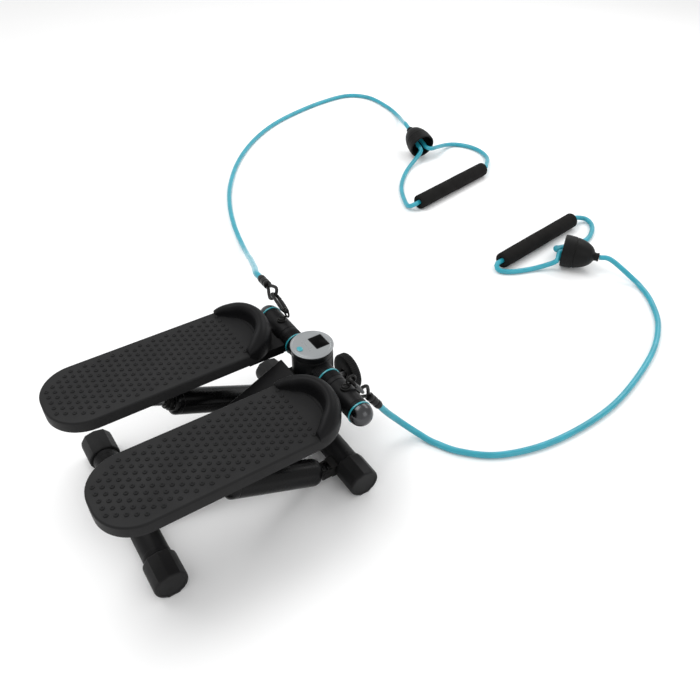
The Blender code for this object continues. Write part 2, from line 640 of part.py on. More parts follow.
def pedal_arm(side):
    """Welded steel arm under the tread, with a lug that meets the pivot sleeve."""
    name = SIDE_NAMES[side] + "_pedal_arm"
    top = PEDAL_TOP - PEDAL_SKIN - GAP
    skirt = PEDAL_TOP - PEDAL_SKIRT - GAP
    low, high = mirrored((0.0785, 0.1085), side)
    arm = prism(name, [(-0.1850, 0.1500), (0.1000, 0.1500), (0.1000, top), (-0.1850, top)], (low, high),
                "frame_paint", HINGE, bevel=0.0015)
    low, high = mirrored((0.0505, 0.1000), side)
    bridge = prism(name + "_bridge_tool", [(0.0680, 0.1400), (0.1265, 0.1400), (0.1265, skirt), (0.0680,
                                                                                                 skirt)],
                   (low, high), "frame_paint")
    low, high = mirrored((0.0507, 0.0690), side)
    lug = prism(name + "_lug_tool", [(0.0700, 0.1410), (BAR_Y, 0.1410), (BAR_Y, skirt - 0.0001),
                                     (0.0700, skirt - 0.0001)], (low, high), "frame_paint")
    boolean(arm, bridge, "UNION")
    boolean(arm, lug, "UNION")
    boolean(arm, cutter(name + "_saddle_cutter", rod_profile(BAR_R + GAP, 0.06), (low - 0.01, BAR_Y, BAR_Z),
                        (1, 0, 0), 20))


def pivot_sleeve(side):
    """Hub that turns on the axle, with a horn in front that rides on the rocker."""
    name = SIDE_NAMES[side] + "_pivot_sleeve"
    low, high = mirrored(SLEEVE_X, side)
    sleeve = lathe(name, tube_profile(BAR_R, AXLE_R + TURNING_GAP, high - low), (low, BAR_Y, BAR_Z), (1, 0,
                                                                                                      0),
                   "frame_paint", 20, origin=HINGE)
    low, high = mirrored((SLEEVE_X[0] + 0.001, SLEEVE_X[1] - 0.001), side)
    horn = prism(name + "_horn_tool",
                 [(BAR_Y + 0.0110, BAR_Z - 0.004), (BAR_Y + 0.0110, BAR_Z - 0.0128), (ROCKER_Y[0] - 0.001,
                                                                                      HORN_BOTTOM),
                  (ROCKER_Y[1] + 0.001, HORN_BOTTOM), (ROCKER_Y[1] + 0.001, HORN_BOTTOM + 0.008),
                  (BAR_Y + 0.0160, BAR_Z - 0.002)], (low, high), "frame_paint")
    boolean(sleeve, horn, "UNION")


# ---- dampers ------------------------------------------------------------------------------
def damper_line(side):
    offset = Vector((side * DAMPER_X, 0.0, 0.0))
    front = DAMPER_FRONT + offset
    rear = DAMPER_REAR + offset
    return front, rear, (rear - front).normalized()


def front_clevis(side):
    """Two ears and a pin on the back of the front base tube."""
    name = SIDE_NAMES[side] + "_front_clevis"
    front, _, _ = damper_line(side)
    x = front.x
    body = box(name, (x - 0.0110, front.y + 0.0105, 0.0125), (x + 0.0110, FRONT_Y, 0.0330),
               "hardware_black")
    for index, offset in enumerate((-0.0093, 0.0093)):
        ear = box(f"{name}_ear_tool_{index}", (x + offset - 0.0017, front.y - 0.0062, 0.0150),
                  (x + offset + 0.0017, front.y + 0.0200, 0.0300), "hardware_black")
        boolean(body, ear, "UNION")
    pin = lathe(name + "_pin_tool", [(0.0, 0.0), (0.0062, 0.0), (0.0062, 0.0020), (PIN_R, 0.0020),
                                     (PIN_R, 0.0220), (0.0062, 0.0220), (0.0062, 0.0240), (0.0, 0.0240)],
                (x - 0.0120, front.y, front.z), (1, 0, 0), "steel", 16)
    boolean(body, pin, "UNION")
    boolean(body, cutter(name + "_saddle_cutter", rod_profile(TUBE_R + GAP, 0.06), (x - 0.03, FRONT_Y,
                                                                                    BASE_Z),
                         (1, 0, 0), 20))


def rear_clevis(side):
    """The same kind of bracket under the pedal arm."""
    name = SIDE_NAMES[side] + "_rear_clevis"
    _, rear, _ = damper_line(side)
    x = rear.x
    body = box(name, (x - 0.0125, rear.y - 0.0150, 0.1470), (x + 0.0125, rear.y + 0.0150, 0.1500 - GAP),
               "hardware_black", HINGE)
    for index, offset in enumerate((-0.0095, 0.0095)):
        ear = box(f"{name}_ear_tool_{index}", (x + offset - 0.0018, rear.y - 0.0090, rear.z - 0.0090),
                  (x + offset + 0.0018, rear.y + 0.0090, 0.1490), "hardware_black")
        boolean(body, ear, "UNION")
    pin = lathe(name + "_pin_tool", [(0.0, 0.0), (0.0062, 0.0), (0.0062, 0.0030), (PIN_R, 0.0030),
                                     (PIN_R, 0.0240), (0.0062, 0.0240), (0.0062, 0.0270), (0.0, 0.0270)],
                (x - 0.0135, rear.y, rear.z), (1, 0, 0), "steel", 16)
    boolean(body, pin, "UNION")


def damper(side):
    """Oil cylinder with an eye on the front pin, its gland nut, and the rod with the rear eye."""
    prefix = SIDE_NAMES[side]
    front, rear, along = damper_line(side)
    reach = (rear - front).length
    shell = [(0.0, 0.0355), (ROD_R + GAP, 0.0355), (ROD_R + GAP, DAMPER_END), (DAMPER_R - 0.0020,
                                                                               DAMPER_END),
             (DAMPER_R, DAMPER_END - 0.0020), (DAMPER_R, DAMPER_START + 0.0050), (DAMPER_R - 0.0045,
                                                                                  DAMPER_START),
             (0.0082, DAMPER_START - 0.0010), (0.0, DAMPER_START - 0.0010)]
    body = lathe(prefix + "_damper_cylinder", shell, front, along, "damper_black", 20, origin=front)
    eye = lathe(prefix + "_damper_eye_tool", rod_profile(0.0088, 0.0140, 0.0006), front - Vector((0.0070, 0,
                                                                                                  0)),
                (1, 0, 0), "damper_black", 20)
    neck = lathe(prefix + "_damper_neck_tool", rod_profile(0.0065, 0.0240, 0.0003), front, along,
                 "damper_black", 16)
    boolean(body, eye, "UNION")
    boolean(body, neck, "UNION")
    boolean(body, cutter(prefix + "_damper_eye_cutter", rod_profile(PIN_R + GAP, 0.06), front
                         - Vector((0.03, 0, 0)),
                         (1, 0, 0), 16))
    nut_start = DAMPER_END + GAP
    lathe(prefix + "_gland_nut", [(ROD_R + GAP, nut_start), (0.0125, nut_start), (0.0132, nut_start
                                                                                  + 0.0010),
                                  (0.0132, nut_start + 0.0050), (0.0104, nut_start + 0.0055),
                                  (0.0104, nut_start + 0.0105), (0.0092, nut_start + 0.0120),
                                  (ROD_R + GAP, nut_start + 0.0120)],
          front, along, "hardware_black", 20, origin=front)
    rod = lathe(prefix + "_damper_rod", rod_profile(ROD_R, reach - 0.010 - 0.075, 0.0005), front
                + along * 0.075,
                along, "steel", 16, origin=front)
    eye_centre = rear + ROD_EYE_SHIFT
    eye = lathe(prefix + "_rod_eye_tool", rod_profile(0.0105, 0.0110, 0.0006), eye_centre - Vector((0.0055,
                                                                                                    0, 0)),
                (1, 0, 0), "steel", 20)
    boolean(rod, eye, "UNION")
    boolean(rod, cutter(prefix + "_rod_eye_cutter", rod_profile(ROD_EYE_BORE, 0.06), eye_centre
                        - Vector((0.03, 0, 0)),
                        (1, 0, 0), 16))


# ---- pull bands ---------------------------------------------------------------------------
def smooth_route(route, spacing):
    """Points at about this spacing on a smooth curve through the route."""
    route = [Vector(point) for point in route]
    padded = [route[0] * 2 - route[1], *route, route[-1] * 2 - route[-2]]
    fine = []
    for before, start, end, after in zip(padded, padded[1:], padded[2:], padded[3:]):
        for step in range(24):
            t = step / 24
            fine.append(0.5 * (2 * start + (end - before) * t
                               + (2 * before - 5 * start + 4 * end - after) * t ** 2
                               + (3 * start - before - 3 * end + after) * t ** 3))
    fine.append(route[-1])
    travelled = [0.0]
    for a, b in zip(fine, fine[1:]):
        travelled.append(travelled[-1] + (b - a).length)
    count = max(2, round(travelled[-1] / spacing))
    points, index = [], 0
    for i in range(count + 1):
        wanted = travelled[-1] * i / count
        while index < len(fine) - 2 and travelled[index + 1] < wanted:
            index += 1
        span = travelled[index + 1] - travelled[index]
        share = (wanted - travelled[index]) / span if span else 0.0
        point = fine[index].lerp(fine[index + 1], share)
        point.z = max(point.z, BAND_FLOOR_Z)
        points.append(point)
    return points


def cord(name, route, spacing=0.025):
    """An elastic tube along a route, with flat closed ends."""
    curve = bpy.data.curves.new(name, "CURVE")
    curve.dimensions = "3D"
    curve.bevel_depth = BAND_R
    curve.bevel_resolution = 2
    curve.use_fill_caps = True
    points = smooth_route(route, spacing)
    spline = curve.splines.new("POLY")
    spline.points.add(len(points) - 1)
    for target, point in zip(spline.points, points):
        target.co = (*point, 1.0)
    curve.materials.append(MATERIALS["band_elastic"])
    made = bpy.data.objects.new(name, curve)
    bpy.context.scene.collection.objects.link(made)


def across(direction, width):
    """The width direction made square to the running direction."""
    direction = direction.normalized()
    return (width - direction * width.dot(direction)).normalized()


def chain_points(side):
    """Start, running direction and width direction of the hook, the loop and the ferrule."""
    start, hook_dir, width, loop_dir, ferrule_dir = CHAIN[side]
    hook_dir, loop_dir, ferrule_dir = (v.normalized() for v in (hook_dir, loop_dir, ferrule_dir))
    hook_width = across(hook_dir, width)
    hook_end = start + hook_dir * HOOK_LENGTH
    loop_start = hook_end - hook_dir * (2 * LINK_WIRE + 0.0006)
    loop_width = across(loop_dir, loop_dir.cross(hook_width))
    ferrule_start = loop_start + loop_dir * LOOP_LENGTH
    return {"hook": (start, hook_dir, hook_width), "loop": (loop_start, loop_dir, loop_width),
            "ferrule": (ferrule_start, ferrule_dir, None)}


def stadium(start, direction, width, length, half):
    """Closed outline whose two round ends touch the given start and the far end."""
    points = []
    steps = 6
    for i in range(steps + 1):
        angle = math.radians(90 + 180 * i / steps)
        points.append(start + direction * (half + half * math.cos(angle))
                      + width * (half * math.sin(angle)))
    for i in range(steps + 1):
        angle = math.radians(-90 + 180 * i / steps)
        points.append(start + direction * (length - half + half * math.cos(angle))
                      + width * (half * math.sin(angle)))
    return points


def teardrop(start, direction, width, length, half):
    """Closed outline, round at the start and narrowing to two close wires at the far end."""
    points = []
    steps = 10
    for i in range(steps + 1):
        angle = math.radians(75 + 210 * i / steps)
        points.append(start + direction * (half + half * math.cos(angle))
                      + width * (half * math.sin(angle)))
    for along, share in ((0.62, -0.66), (0.82, -0.34), (1.12, -0.24), (1.12, 0.24), (0.82, 0.34), (0.62,
                                                                                                   0.66)):
        points.append(start + direction * (length * along) + width * (half * share))
    return points


def snap_hook(side):
    start, direction, width = chain_points(side)["hook"]
    bm = bmesh.new()
    add_loop_tube(bm, stadium(start, direction, width, HOOK_LENGTH, HOOK_HALF_WIDTH), LINK_WIRE,
                  direction.cross(width).normalized(), 6)
    finish_object(SIDE_NAMES[side] + "_snap_hook", bm, "hardware_black")


def wire_loop(side):
    """The wire loop and the ferrule that clamps it to the band."""
    name = SIDE_NAMES[side] + "_wire_ferrule"
    placed = chain_points(side)
    start, direction, width = placed["loop"]
    bm = bmesh.new()
    add_loop_tube(bm, teardrop(start, direction, width, LOOP_LENGTH, LOOP_HALF_WIDTH), LINK_WIRE,
                  direction.cross(width).normalized(), 6)
    loop = finish_object(name, bm, "hardware_black")
    ferrule_start, ferrule_dir, _ = placed["ferrule"]
    ferrule = lathe(name + "_tube_tool", rod_profile(FERRULE_R, FERRULE_LENGTH, 0.0012), ferrule_start,
                    ferrule_dir,
                    "hardware_black", 20)
    boolean(loop, ferrule, "UNION")


def cone_line(side):
    """Centre of a cone's narrow end, and the direction from it to the mouth."""
    narrow, wide = LEFT_CONE if side == LEFT else RIGHT_CONE
    return narrow, (wide - narrow).normalized()


def cone(side):
    """Moulded cone that covers the join of the band and the hand loop, open at its mouth."""
    start, axis = cone_line(side)
    length = CONE_LENGTH
    profile = [(0.0, 0.0), (0.0068, 0.0), (CONE_COLLAR_R - 0.0008, 0.0010), (CONE_COLLAR_R - 0.0008,
                                                                             0.0100),
               (0.0141, 0.0125), (0.0220, 0.0220), (0.0282, 0.0340), (0.0316, 0.0480), (0.0327, 0.0490),
               (CONE_MOUTH_R, length - 0.0020), (CONE_MOUTH_R - 0.0015, length), (0.0300, length),
               (0.0283, length - 0.0060), (0.0252, CONE_CAVITY), (0.0, CONE_CAVITY)]
    lathe(SIDE_NAMES[side] + "_cone", profile, start, axis, "stopper_rubber", 20)


def pull_band(side):
    prefix = SIDE_NAMES[side]
    ferrule_start, ferrule_dir, _ = chain_points(side)["ferrule"]
    leave = ferrule_start + ferrule_dir * (FERRULE_LENGTH + GAP)
    narrow, axis = cone_line(side)
    arrive = narrow - axis * GAP
    middle = LEFT_BAND_ROUTE if side == LEFT else RIGHT_BAND_ROUTE
    route = [leave, leave + ferrule_dir * 0.024, *middle, arrive - axis * 0.024, arrive]
    cord(prefix + "_band", route)


def hand_loop(side):
    """The strand from the cone through the grip and back, and the foam grip round it."""
    prefix = SIDE_NAMES[side]
    near_end, far_end = LEFT_GRIP if side == LEFT else RIGHT_GRIP
    near = LEFT_STRAND_NEAR if side == LEFT else RIGHT_STRAND_NEAR
    far = LEFT_STRAND_FAR if side == LEFT else RIGHT_STRAND_FAR
    narrow, axis = cone_line(side)
    seat = narrow + axis * (CONE_CAVITY + GAP)
    lip = narrow + axis * (CONE_LENGTH + 0.004)
    flat = Vector((-axis.y, axis.x, 0.0)).normalized()
    inward = (far_end - near_end).normalized()
    through = [near_end - inward * 0.012, near_end + inward * 0.002, near_end.lerp(far_end, 0.33),
               near_end.lerp(far_end, 0.67), far_end - inward * 0.002, far_end + inward * 0.012]
    first, last = flat * (0.0085 * side), flat * (-0.0085 * side)
    route = [seat + first, seat + axis * 0.024 + first, lip + first, *near, *through, *far,
             lip + last, seat + axis * 0.024 + last, seat + last]
    cord(prefix + "_loop_strand", route)
    length = (far_end - near_end).length
    bore = BAND_R + 0.0016
    lathe(prefix + "_foam_grip", [(bore, 0.0), (GRIP_R - 0.0020, 0.0), (GRIP_R - 0.0003, 0.0018),
                                  (GRIP_R - 0.0003, length - 0.0018), (GRIP_R - 0.0020, length), (bore,
                                                                                                  length)],
          near_end, inward, "grip_foam", 18)


def build_side(side):
    prefix = SIDE_NAMES[side]
    for where, y in (("front", FRONT_Y), ("rear", REAR_Y)):
        foot_cap(f"{where}_{prefix}_foot_cap", side, y)
    trim_rings(side)
    bar_piece(prefix + "_bar_collar", COLLAR_X, side, BAR_R, "frame_paint")
    end_dome(side)
    eyebolt(side)
    pivot_sleeve(side)
    pedal_arm(side)
    pedal_tread(side)
    toe_cup(side)
    front_clevis(side)
    rear_clevis(side)
    damper(side)
    snap_hook(side)
    wire_loop(side)
    pull_band(side)
    cone(side)
    hand_loop(side)


def main():
    for old in list(bpy.data.objects):
        bpy.data.objects.remove(old, do_unlink=True)
    make_materials()
    base_tube("front_base_tube", FRONT_Y)
    base_tube("rear_base_tube", REAR_Y)
    front_post()
    central_beam()
    hub_housing()
    cross_axle()
    console()
    adjuster()
    rocker()
    for side in (LEFT, RIGHT):
        build_side(side)


main()
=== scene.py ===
"""Mini stepper with two pull bands on a pale studio floor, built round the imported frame."""

import json
import math

import bmesh
import bpy
from mathutils import Matrix, Vector

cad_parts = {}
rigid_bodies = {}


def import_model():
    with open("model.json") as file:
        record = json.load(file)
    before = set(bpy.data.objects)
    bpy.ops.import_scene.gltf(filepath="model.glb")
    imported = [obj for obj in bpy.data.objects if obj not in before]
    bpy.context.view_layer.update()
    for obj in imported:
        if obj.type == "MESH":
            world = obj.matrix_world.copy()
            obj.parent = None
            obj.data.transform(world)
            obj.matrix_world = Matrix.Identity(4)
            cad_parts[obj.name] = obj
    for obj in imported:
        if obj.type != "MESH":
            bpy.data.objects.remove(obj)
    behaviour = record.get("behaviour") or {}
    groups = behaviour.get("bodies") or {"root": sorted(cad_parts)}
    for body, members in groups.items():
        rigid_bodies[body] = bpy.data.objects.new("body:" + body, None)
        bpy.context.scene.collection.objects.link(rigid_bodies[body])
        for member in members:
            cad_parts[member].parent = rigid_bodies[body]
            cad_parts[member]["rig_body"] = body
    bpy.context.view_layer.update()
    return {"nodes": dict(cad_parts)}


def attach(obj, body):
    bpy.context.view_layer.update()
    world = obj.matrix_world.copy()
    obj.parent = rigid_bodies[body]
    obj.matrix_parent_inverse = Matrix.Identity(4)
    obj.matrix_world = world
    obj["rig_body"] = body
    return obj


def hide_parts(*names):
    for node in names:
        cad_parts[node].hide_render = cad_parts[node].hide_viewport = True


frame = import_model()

# ---- the frame's driving dimensions, in metres ---------------------------------------------
LEFT, RIGHT = -1, 1
SIDE_NAMES = {LEFT: "left", RIGHT: "right"}
BASE_HALF, BASE_CAP_LENGTH, TUBE_R, CAP_R = 0.151, 0.044, 0.0195, 0.0236
FRONT_Y, REAR_Y, BASE_Z = 0.1414, -0.161, 0.0236
BAR_Y, BAR_Z, BAR_R = 0.1461, 0.1511, 0.0175
RING_WIDTH, INNER_RING_X, OUTER_RING_X, DOME_X = 0.0044, 0.0470, 0.1270, 0.1305
TRIM_HALF, RING_BORE = 0.0013, BAR_R - 0.004
SLEEVE_X, SLEEVE_BORE, COLLAR_X = (0.0495, 0.0697), 0.0105, (0.0700, 0.1246)
EYEBOLT_X = 0.091
HUB_R, HUB_BOTTOM, HUB_TOP, FACE_R, FACE_TOP, HUB_Y = 0.0310, 0.1308, 0.1812, 0.0322, 0.1834, 0.1475
PEDAL_X, PEDAL_HALF_WIDTH, PEDAL_TOE_Y, PEDAL_LENGTH = 0.098, 0.0622, 0.1216, 0.340
PEDAL_TOP, PEDAL_SKIRT, HEEL_CORNER_R, TOE_DEPTH = 0.1740, 0.0184, 0.0544, 0.0576
TOE_CUP_HEIGHT, TOE_WALL = 0.025, 0.0225
STUD_PITCH_X, STUD_PITCH_Y, STUD_END_Y = 0.0122, 0.0103, 0.064
DAMPER_X, DAMPER_R, ROD_R = 0.0950, 0.0207, 0.0055
DAMPER_FRONT, DAMPER_REAR = Vector((0.0, 0.1023, 0.0225)), Vector((0.0, -0.1383, 0.1352))
KNOB_Y, KNOB_Z, KNOB_R = (0.2020, 0.2180), 0.097, 0.0310
BAND_R, CORD_STEP, GRIP_R = 0.0053, 0.006, 0.0172
STRAND_APART = 0.0085
GAP = 0.0003
FLOOR_Z = 0.0056
HOOK_LENGTH, HOOK_HALF_WIDTH, LINK_WIRE = 0.050, 0.0056, 0.0021
LOOP_LENGTH, LOOP_HALF_WIDTH = 0.034, 0.0098
FERRULE_R, FERRULE_LENGTH = 0.0068, 0.035
EYE_RING_R, EYE_WIRE = 0.0072, 0.0014
EYE_CENTRE_Y, EYE_CENTRE_Z = BAR_Y + 0.0100, BAR_Z + BAR_R + 0.0104
CONE_LENGTH, CONE_MOUTH_R, CONE_COLLAR_R, CONE_CAVITY = 0.074, 0.0333, 0.0096, 0.036
LINK_WIRE_SHOWN = LINK_WIRE * 1.30
SCREEN_LOW, SCREEN_HIGH = (-0.0125, HUB_Y + 0.0015), (0.0125, HUB_Y + 0.0215)
KEY_Y, KEY_HALF_X, KEY_HALF_Y = HUB_Y - 0.0205, 0.0053, 0.0043
HORN_BOTTOM = 0.1135
NUT_AT = 0.1663
FLOOR_HALF, WORLD_LIGHT = 6.0, 0.80
CAMERA_TARGET, CAMERA_DISTANCE = Vector((-0.0873, 0.2715, 0.05)), 1.2489
CAMERA_AZIMUTH, CAMERA_ELEVATION, CAMERA_LENS = 56.72, 40.894, 37.10


# ---- camera --------------------------------------------------------------------------------
def make_camera():
    """The camera that frames the machine and both bands from above the right heel."""
    data = bpy.data.cameras.new("photo_camera")
    data.sensor_width = 36.0
    data.lens = CAMERA_LENS
    data.clip_start, data.clip_end = 0.02, 30.0
    camera = bpy.data.objects.new("photo_camera", data)
    azimuth, elevation = math.radians(CAMERA_AZIMUTH), math.radians(CAMERA_ELEVATION)
    back = Vector((math.sin(azimuth) * math.cos(elevation), -math.cos(azimuth) * math.cos(elevation),
                   math.sin(elevation)))
    right = Vector((math.cos(azimuth), math.sin(azimuth), 0.0))
    up = back.cross(right)
    place = CAMERA_TARGET + back * CAMERA_DISTANCE
    turn = Matrix((right, up, back)).transposed().to_4x4()
    camera.matrix_world = Matrix.Translation(place) @ turn
    bpy.context.scene.collection.objects.link(camera)
    bpy.context.scene.camera = camera


# ---- materials -----------------------------------------------------------------------------
class Shader:
    """A material's nodes, built from short calls."""

    def __init__(self, name, colour, roughness, metallic=0.0, **more):
        self.name = name
        self.material = bpy.data.materials.new(name + "_finish")
        self.material.use_nodes = True
        self.tree = self.material.node_tree
        self.main = self.tree.nodes["Principled BSDF"]
        self.put("Base Color", (*colour, 1.0))
        self.put("Roughness", roughness)
        self.put("Metallic", metallic)
        if metallic == 0.0 and max(colour) < 0.1:
            self.put("Specular IOR Level", 0.28)
        self.colour = colour
        for key, value in more.items():
            self.put(key.replace("_", " "), value)
        self.coordinates = self.tree.nodes.new("ShaderNodeTexCoord")
        self.normal = None

    def put(self, socket, value):
        """Sets one socket of the main shader."""
        self.main.inputs[socket].default_value = value

    def node(self, kind, **settings):
        """A node with its settings; an underscore in an input's name stands for a space."""
        made = self.tree.nodes.new(kind)
        for key, value in settings.items():
            socket = key.replace("_", " ")
            if socket in made.inputs:
                made.inputs[socket].default_value = value
            else:
                setattr(made, key, value)
        return made

    def noise(self, scale, detail=2.0, rough=0.5, stretch=None):
        """Soft blotches; stretch draws them out along an axis."""
        made = self.node("ShaderNodeTexNoise", Scale=scale, Detail=detail, Roughness=rough)
        source = self.coordinates.outputs["Object"]
        if stretch:
            mapping = self.node("ShaderNodeMapping", Scale=stretch)
            self.tree.links.new(source, mapping.inputs["Vector"])
            source = mapping.outputs["Vector"]
        self.tree.links.new(source, made.inputs["Vector"])
        return made.outputs["Fac"]

    def cells(self, scale):
        """Fine cells, as in moulded grain or foam."""
        made = self.node("ShaderNodeTexVoronoi", feature="F1", Scale=scale)
        self.tree.links.new(self.coordinates.outputs["Object"], made.inputs["Vector"])
        return made.outputs["Distance"]

    def ramp(self, source, low, high, start=0.3, end=0.7):
        """The source's start to end turned into low to high."""
        made = self.node("ShaderNodeMapRange", From_Min=start, From_Max=end, To_Min=low, To_Max=high)
        self.tree.links.new(source, made.inputs["Value"])
        return made.outputs["Result"]

    def tint(self, source, dark, light, start=0.3, end=0.7):
        """The colour varied between a darker and a lighter share of itself."""
        made = self.node("ShaderNodeValToRGB")
        made.color_ramp.elements[0].position = start
        made.color_ramp.elements[1].position = end
        made.color_ramp.elements[0].color = (*(c * dark for c in self.colour), 1.0)
        made.color_ramp.elements[1].color = (*(c * light for c in self.colour), 1.0)
        self.tree.links.new(source, made.inputs["Fac"])
        self.tree.links.new(made.outputs["Color"], self.main.inputs["Base Color"])

    def rough(self, source, low, high):
        """Uneven gloss."""
        self.tree.links.new(self.ramp(source, low, high), self.main.inputs["Roughness"])

    def bump(self, source, distance, strength=1.0):
        """Fine relief, added to any there is."""
        made = self.node("ShaderNodeBump", Distance=distance, Strength=strength)
        self.tree.links.new(source, made.inputs["Height"])
        if self.normal:
            self.tree.links.new(self.normal, made.inputs["Normal"])
        self.normal = made.outputs["Normal"]
        self.tree.links.new(self.normal, self.main.inputs["Normal"])

    def edge_wear(self, light):
        """Paler convex edges, from the surface's own pointiness."""
        geometry = self.node("ShaderNodeNewGeometry")
        worn = self.ramp(geometry.outputs["Pointiness"], 0.0, 1.0, 0.53, 0.62)
        mix = self.node("ShaderNodeMix", data_type="RGBA")
        linked = self.main.inputs["Base Color"].links
        if linked:
            self.tree.links.new(linked[0].from_socket, mix.inputs["A"])
        else:
            mix.inputs["A"].default_value = (*self.colour, 1.0)
        mix.inputs["B"].default_value = (*(min(1.0, c * light) for c in self.colour), 1.0)
        self.tree.links.new(worn, mix.inputs["Factor"])
        self.tree.links.new(mix.outputs["Result"], self.main.inputs["Base Color"])


MATERIALS = {}


def finish(name, colour, roughness, *layers, **more):
    """One finish with its layers in order: (method, (texture, its settings), the method's settings)."""
    made = Shader(name, colour, roughness, **more)
    for method, (texture, *settings), *values in layers:
        getattr(made, method)(getattr(made, texture)(*settings), *values)
    MATERIALS[name] = made.material
    return made


def make_materials():
    """Every finish of the machine, and the floor."""
    finish("frame_paint", (0.0050, 0.0050, 0.0054), 0.42,
           ("tint", ("noise", 14, 3), 0.9, 1.12), ("bump", ("noise", 900, 2), 0.00012, 0.5),
           ("rough", ("noise", 30, 3), 0.36, 0.50), Specular_IOR_Level=0.11)
    finish("pedal_plastic", (0.0118, 0.0118, 0.0122), 0.52,
           ("tint", ("noise", 9, 4), 0.92, 1.10), ("bump", ("cells", 1500), 0.00010, 0.45),
           ("rough", ("noise", 25, 3), 0.46, 0.58), Specular_IOR_Level=0.14)
    finish("toe_rubber", (0.0045, 0.0045, 0.0050), 0.44,
           ("tint", ("noise", 12, 4), 0.92, 1.10), ("bump", ("noise", 1300, 2), 0.00008, 0.5),
           ("rough", ("noise", 20, 3), 0.40, 0.54), Specular_IOR_Level=0.11)
    finish("cap_plastic", (0.0095, 0.0095, 0.0098), 0.50,
           ("tint", ("noise", 16, 3), 0.92, 1.08), ("bump", ("cells", 1200), 0.00010, 0.5),
           ("rough", ("noise", 40, 2), 0.44, 0.58), Specular_IOR_Level=0.16)
    finish("housing_plastic", (0.0045, 0.0048, 0.0054), 0.34,
           ("tint", ("noise", 18, 3), 0.92, 1.10), ("bump", ("noise", 1100, 2), 0.00006, 0.5),
           ("rough", ("noise", 30, 2), 0.28, 0.38), Specular_IOR_Level=0.14)
    finish("teal_trim", (0.012, 0.270, 0.320), 0.30,
           ("tint", ("noise", 60, 2), 0.93, 1.06), ("bump", ("noise", 700, 2), 0.00004, 0.4),
           Coat_Weight=0.6, Coat_Roughness=0.12)
    finish("console_silver", (0.255, 0.268, 0.275), 0.34,
           ("tint", ("noise", 2600, 2), 0.95, 1.03), ("bump", ("noise", 2200, 1), 0.00002, 0.4),
           ("rough", ("noise", 60, 2), 0.26, 0.34), metallic=0.30, Coat_Weight=0.5, Coat_Roughness=0.15)
    finish("screen_black", (0.0015, 0.0016, 0.0018), 0.16,
           ("tint", ("noise", 40, 1), 0.9, 1.1), ("rough", ("noise", 80, 2), 0.14, 0.20),
           Specular_IOR_Level=0.03)
    finish("dome_metal", (0.070, 0.071, 0.074), 0.24,
           ("tint", ("noise", 50, 2), 0.93, 1.04), ("rough", ("noise", 90, 3), 0.20, 0.30), metallic=1.0)
    finish("steel", (0.30, 0.30, 0.305), 0.28,
           ("tint", ("noise", 70, 3), 0.9, 1.05),
           ("bump", ("noise", 90, 2, 0.5, (1.0, 14.0, 14.0)), 0.00003, 0.4),
           ("rough", ("noise", 120, 3), 0.20, 0.34), metallic=1.0)
    worn = finish("hardware_black", (0.0080, 0.0078, 0.0076), 0.38,
                  ("tint", ("noise", 110, 3), 0.75, 1.25), ("bump", ("noise", 800, 2), 0.00005, 0.5),
                  ("rough", ("noise", 90, 3), 0.26, 0.44), metallic=0.10, Specular_IOR_Level=0.16)
    worn.edge_wear(1.8)
    finish("damper_black", (0.0035, 0.0035, 0.0038), 0.30,
           ("tint", ("noise", 20, 3), 0.9, 1.1), ("bump", ("noise", 300, 2), 0.00005, 0.35),
           ("rough", ("noise", 35, 3), 0.20, 0.32), metallic=0.0, Specular_IOR_Level=0.15)
    finish("ferrule_metal", (0.0080, 0.0078, 0.0075), 0.42,
           ("tint", ("noise", 120, 3), 0.8, 1.2), ("bump", ("noise", 500, 2), 0.00004, 0.5),
           ("rough", ("noise", 90, 3), 0.28, 0.46), metallic=0.0, Specular_IOR_Level=0.16)
    finish("band_elastic", (0.017, 0.310, 0.400), 0.40,
           ("tint", ("noise", 45, 3), 0.90, 1.08), ("bump", ("noise", 1600, 2), 0.00005, 0.5),
           ("rough", ("noise", 60, 3), 0.28, 0.42),
           Coat_Weight=0.25, Coat_Roughness=0.25, Subsurface_Weight=0.08, Subsurface_Scale=0.002)
    finish("stopper_rubber", (0.0060, 0.0060, 0.0060), 0.42,
           ("tint", ("noise", 25, 4), 0.9, 1.12), ("bump", ("noise", 1500, 2), 0.00007, 0.5),
           ("rough", ("noise", 30, 3), 0.38, 0.54), Specular_IOR_Level=0.13)
    finish("grip_foam", (0.0085, 0.0080, 0.0077), 0.80,
           ("tint", ("noise", 35, 4), 0.82, 1.18), ("bump", ("cells", 1100), 0.00035, 0.7),
           ("bump", ("noise", 260, 3), 0.00030, 0.5), ("rough", ("noise", 60, 3), 0.82, 0.95),
           Specular_IOR_Level=0.14)
    finish("floor_paper", (0.96, 0.96, 0.96), 0.90, ("tint", ("noise", 3, 2), 0.995, 1.005))


# ---- shape tools ---------------------------------------------------------------------------
def keep(name, bm, slot, body, replaced=(), smooth=30, recalc=True):
    """Makes the piece, gives it its material and sets it on its body."""
    if recalc:
        bmesh.ops.recalc_face_normals(bm, faces=bm.faces)
    mesh = bpy.data.meshes.new(name)
    bm.to_mesh(mesh)
    bm.free()
    if smooth:
        mesh.shade_smooth()
        mesh.set_sharp_from_angle(angle=math.radians(smooth))
    made = bpy.data.objects.new(name, mesh)
    bpy.context.scene.collection.objects.link(made)
    mesh.materials.append(MATERIALS[slot])
    if replaced:
        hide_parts(*replaced)
    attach(made, body)
    return made


def frame_of(axis):
    """The axis as a unit vector, and two more square to it and to each other."""
    axis = Vector(axis).normalized()
    helper = Vector((0.0, 0.0, 1.0)) if abs(axis.z) < 0.9 else Vector((1.0, 0.0, 0.0))
    first = axis.cross(helper).normalized()
    return axis, first, axis.cross(first)


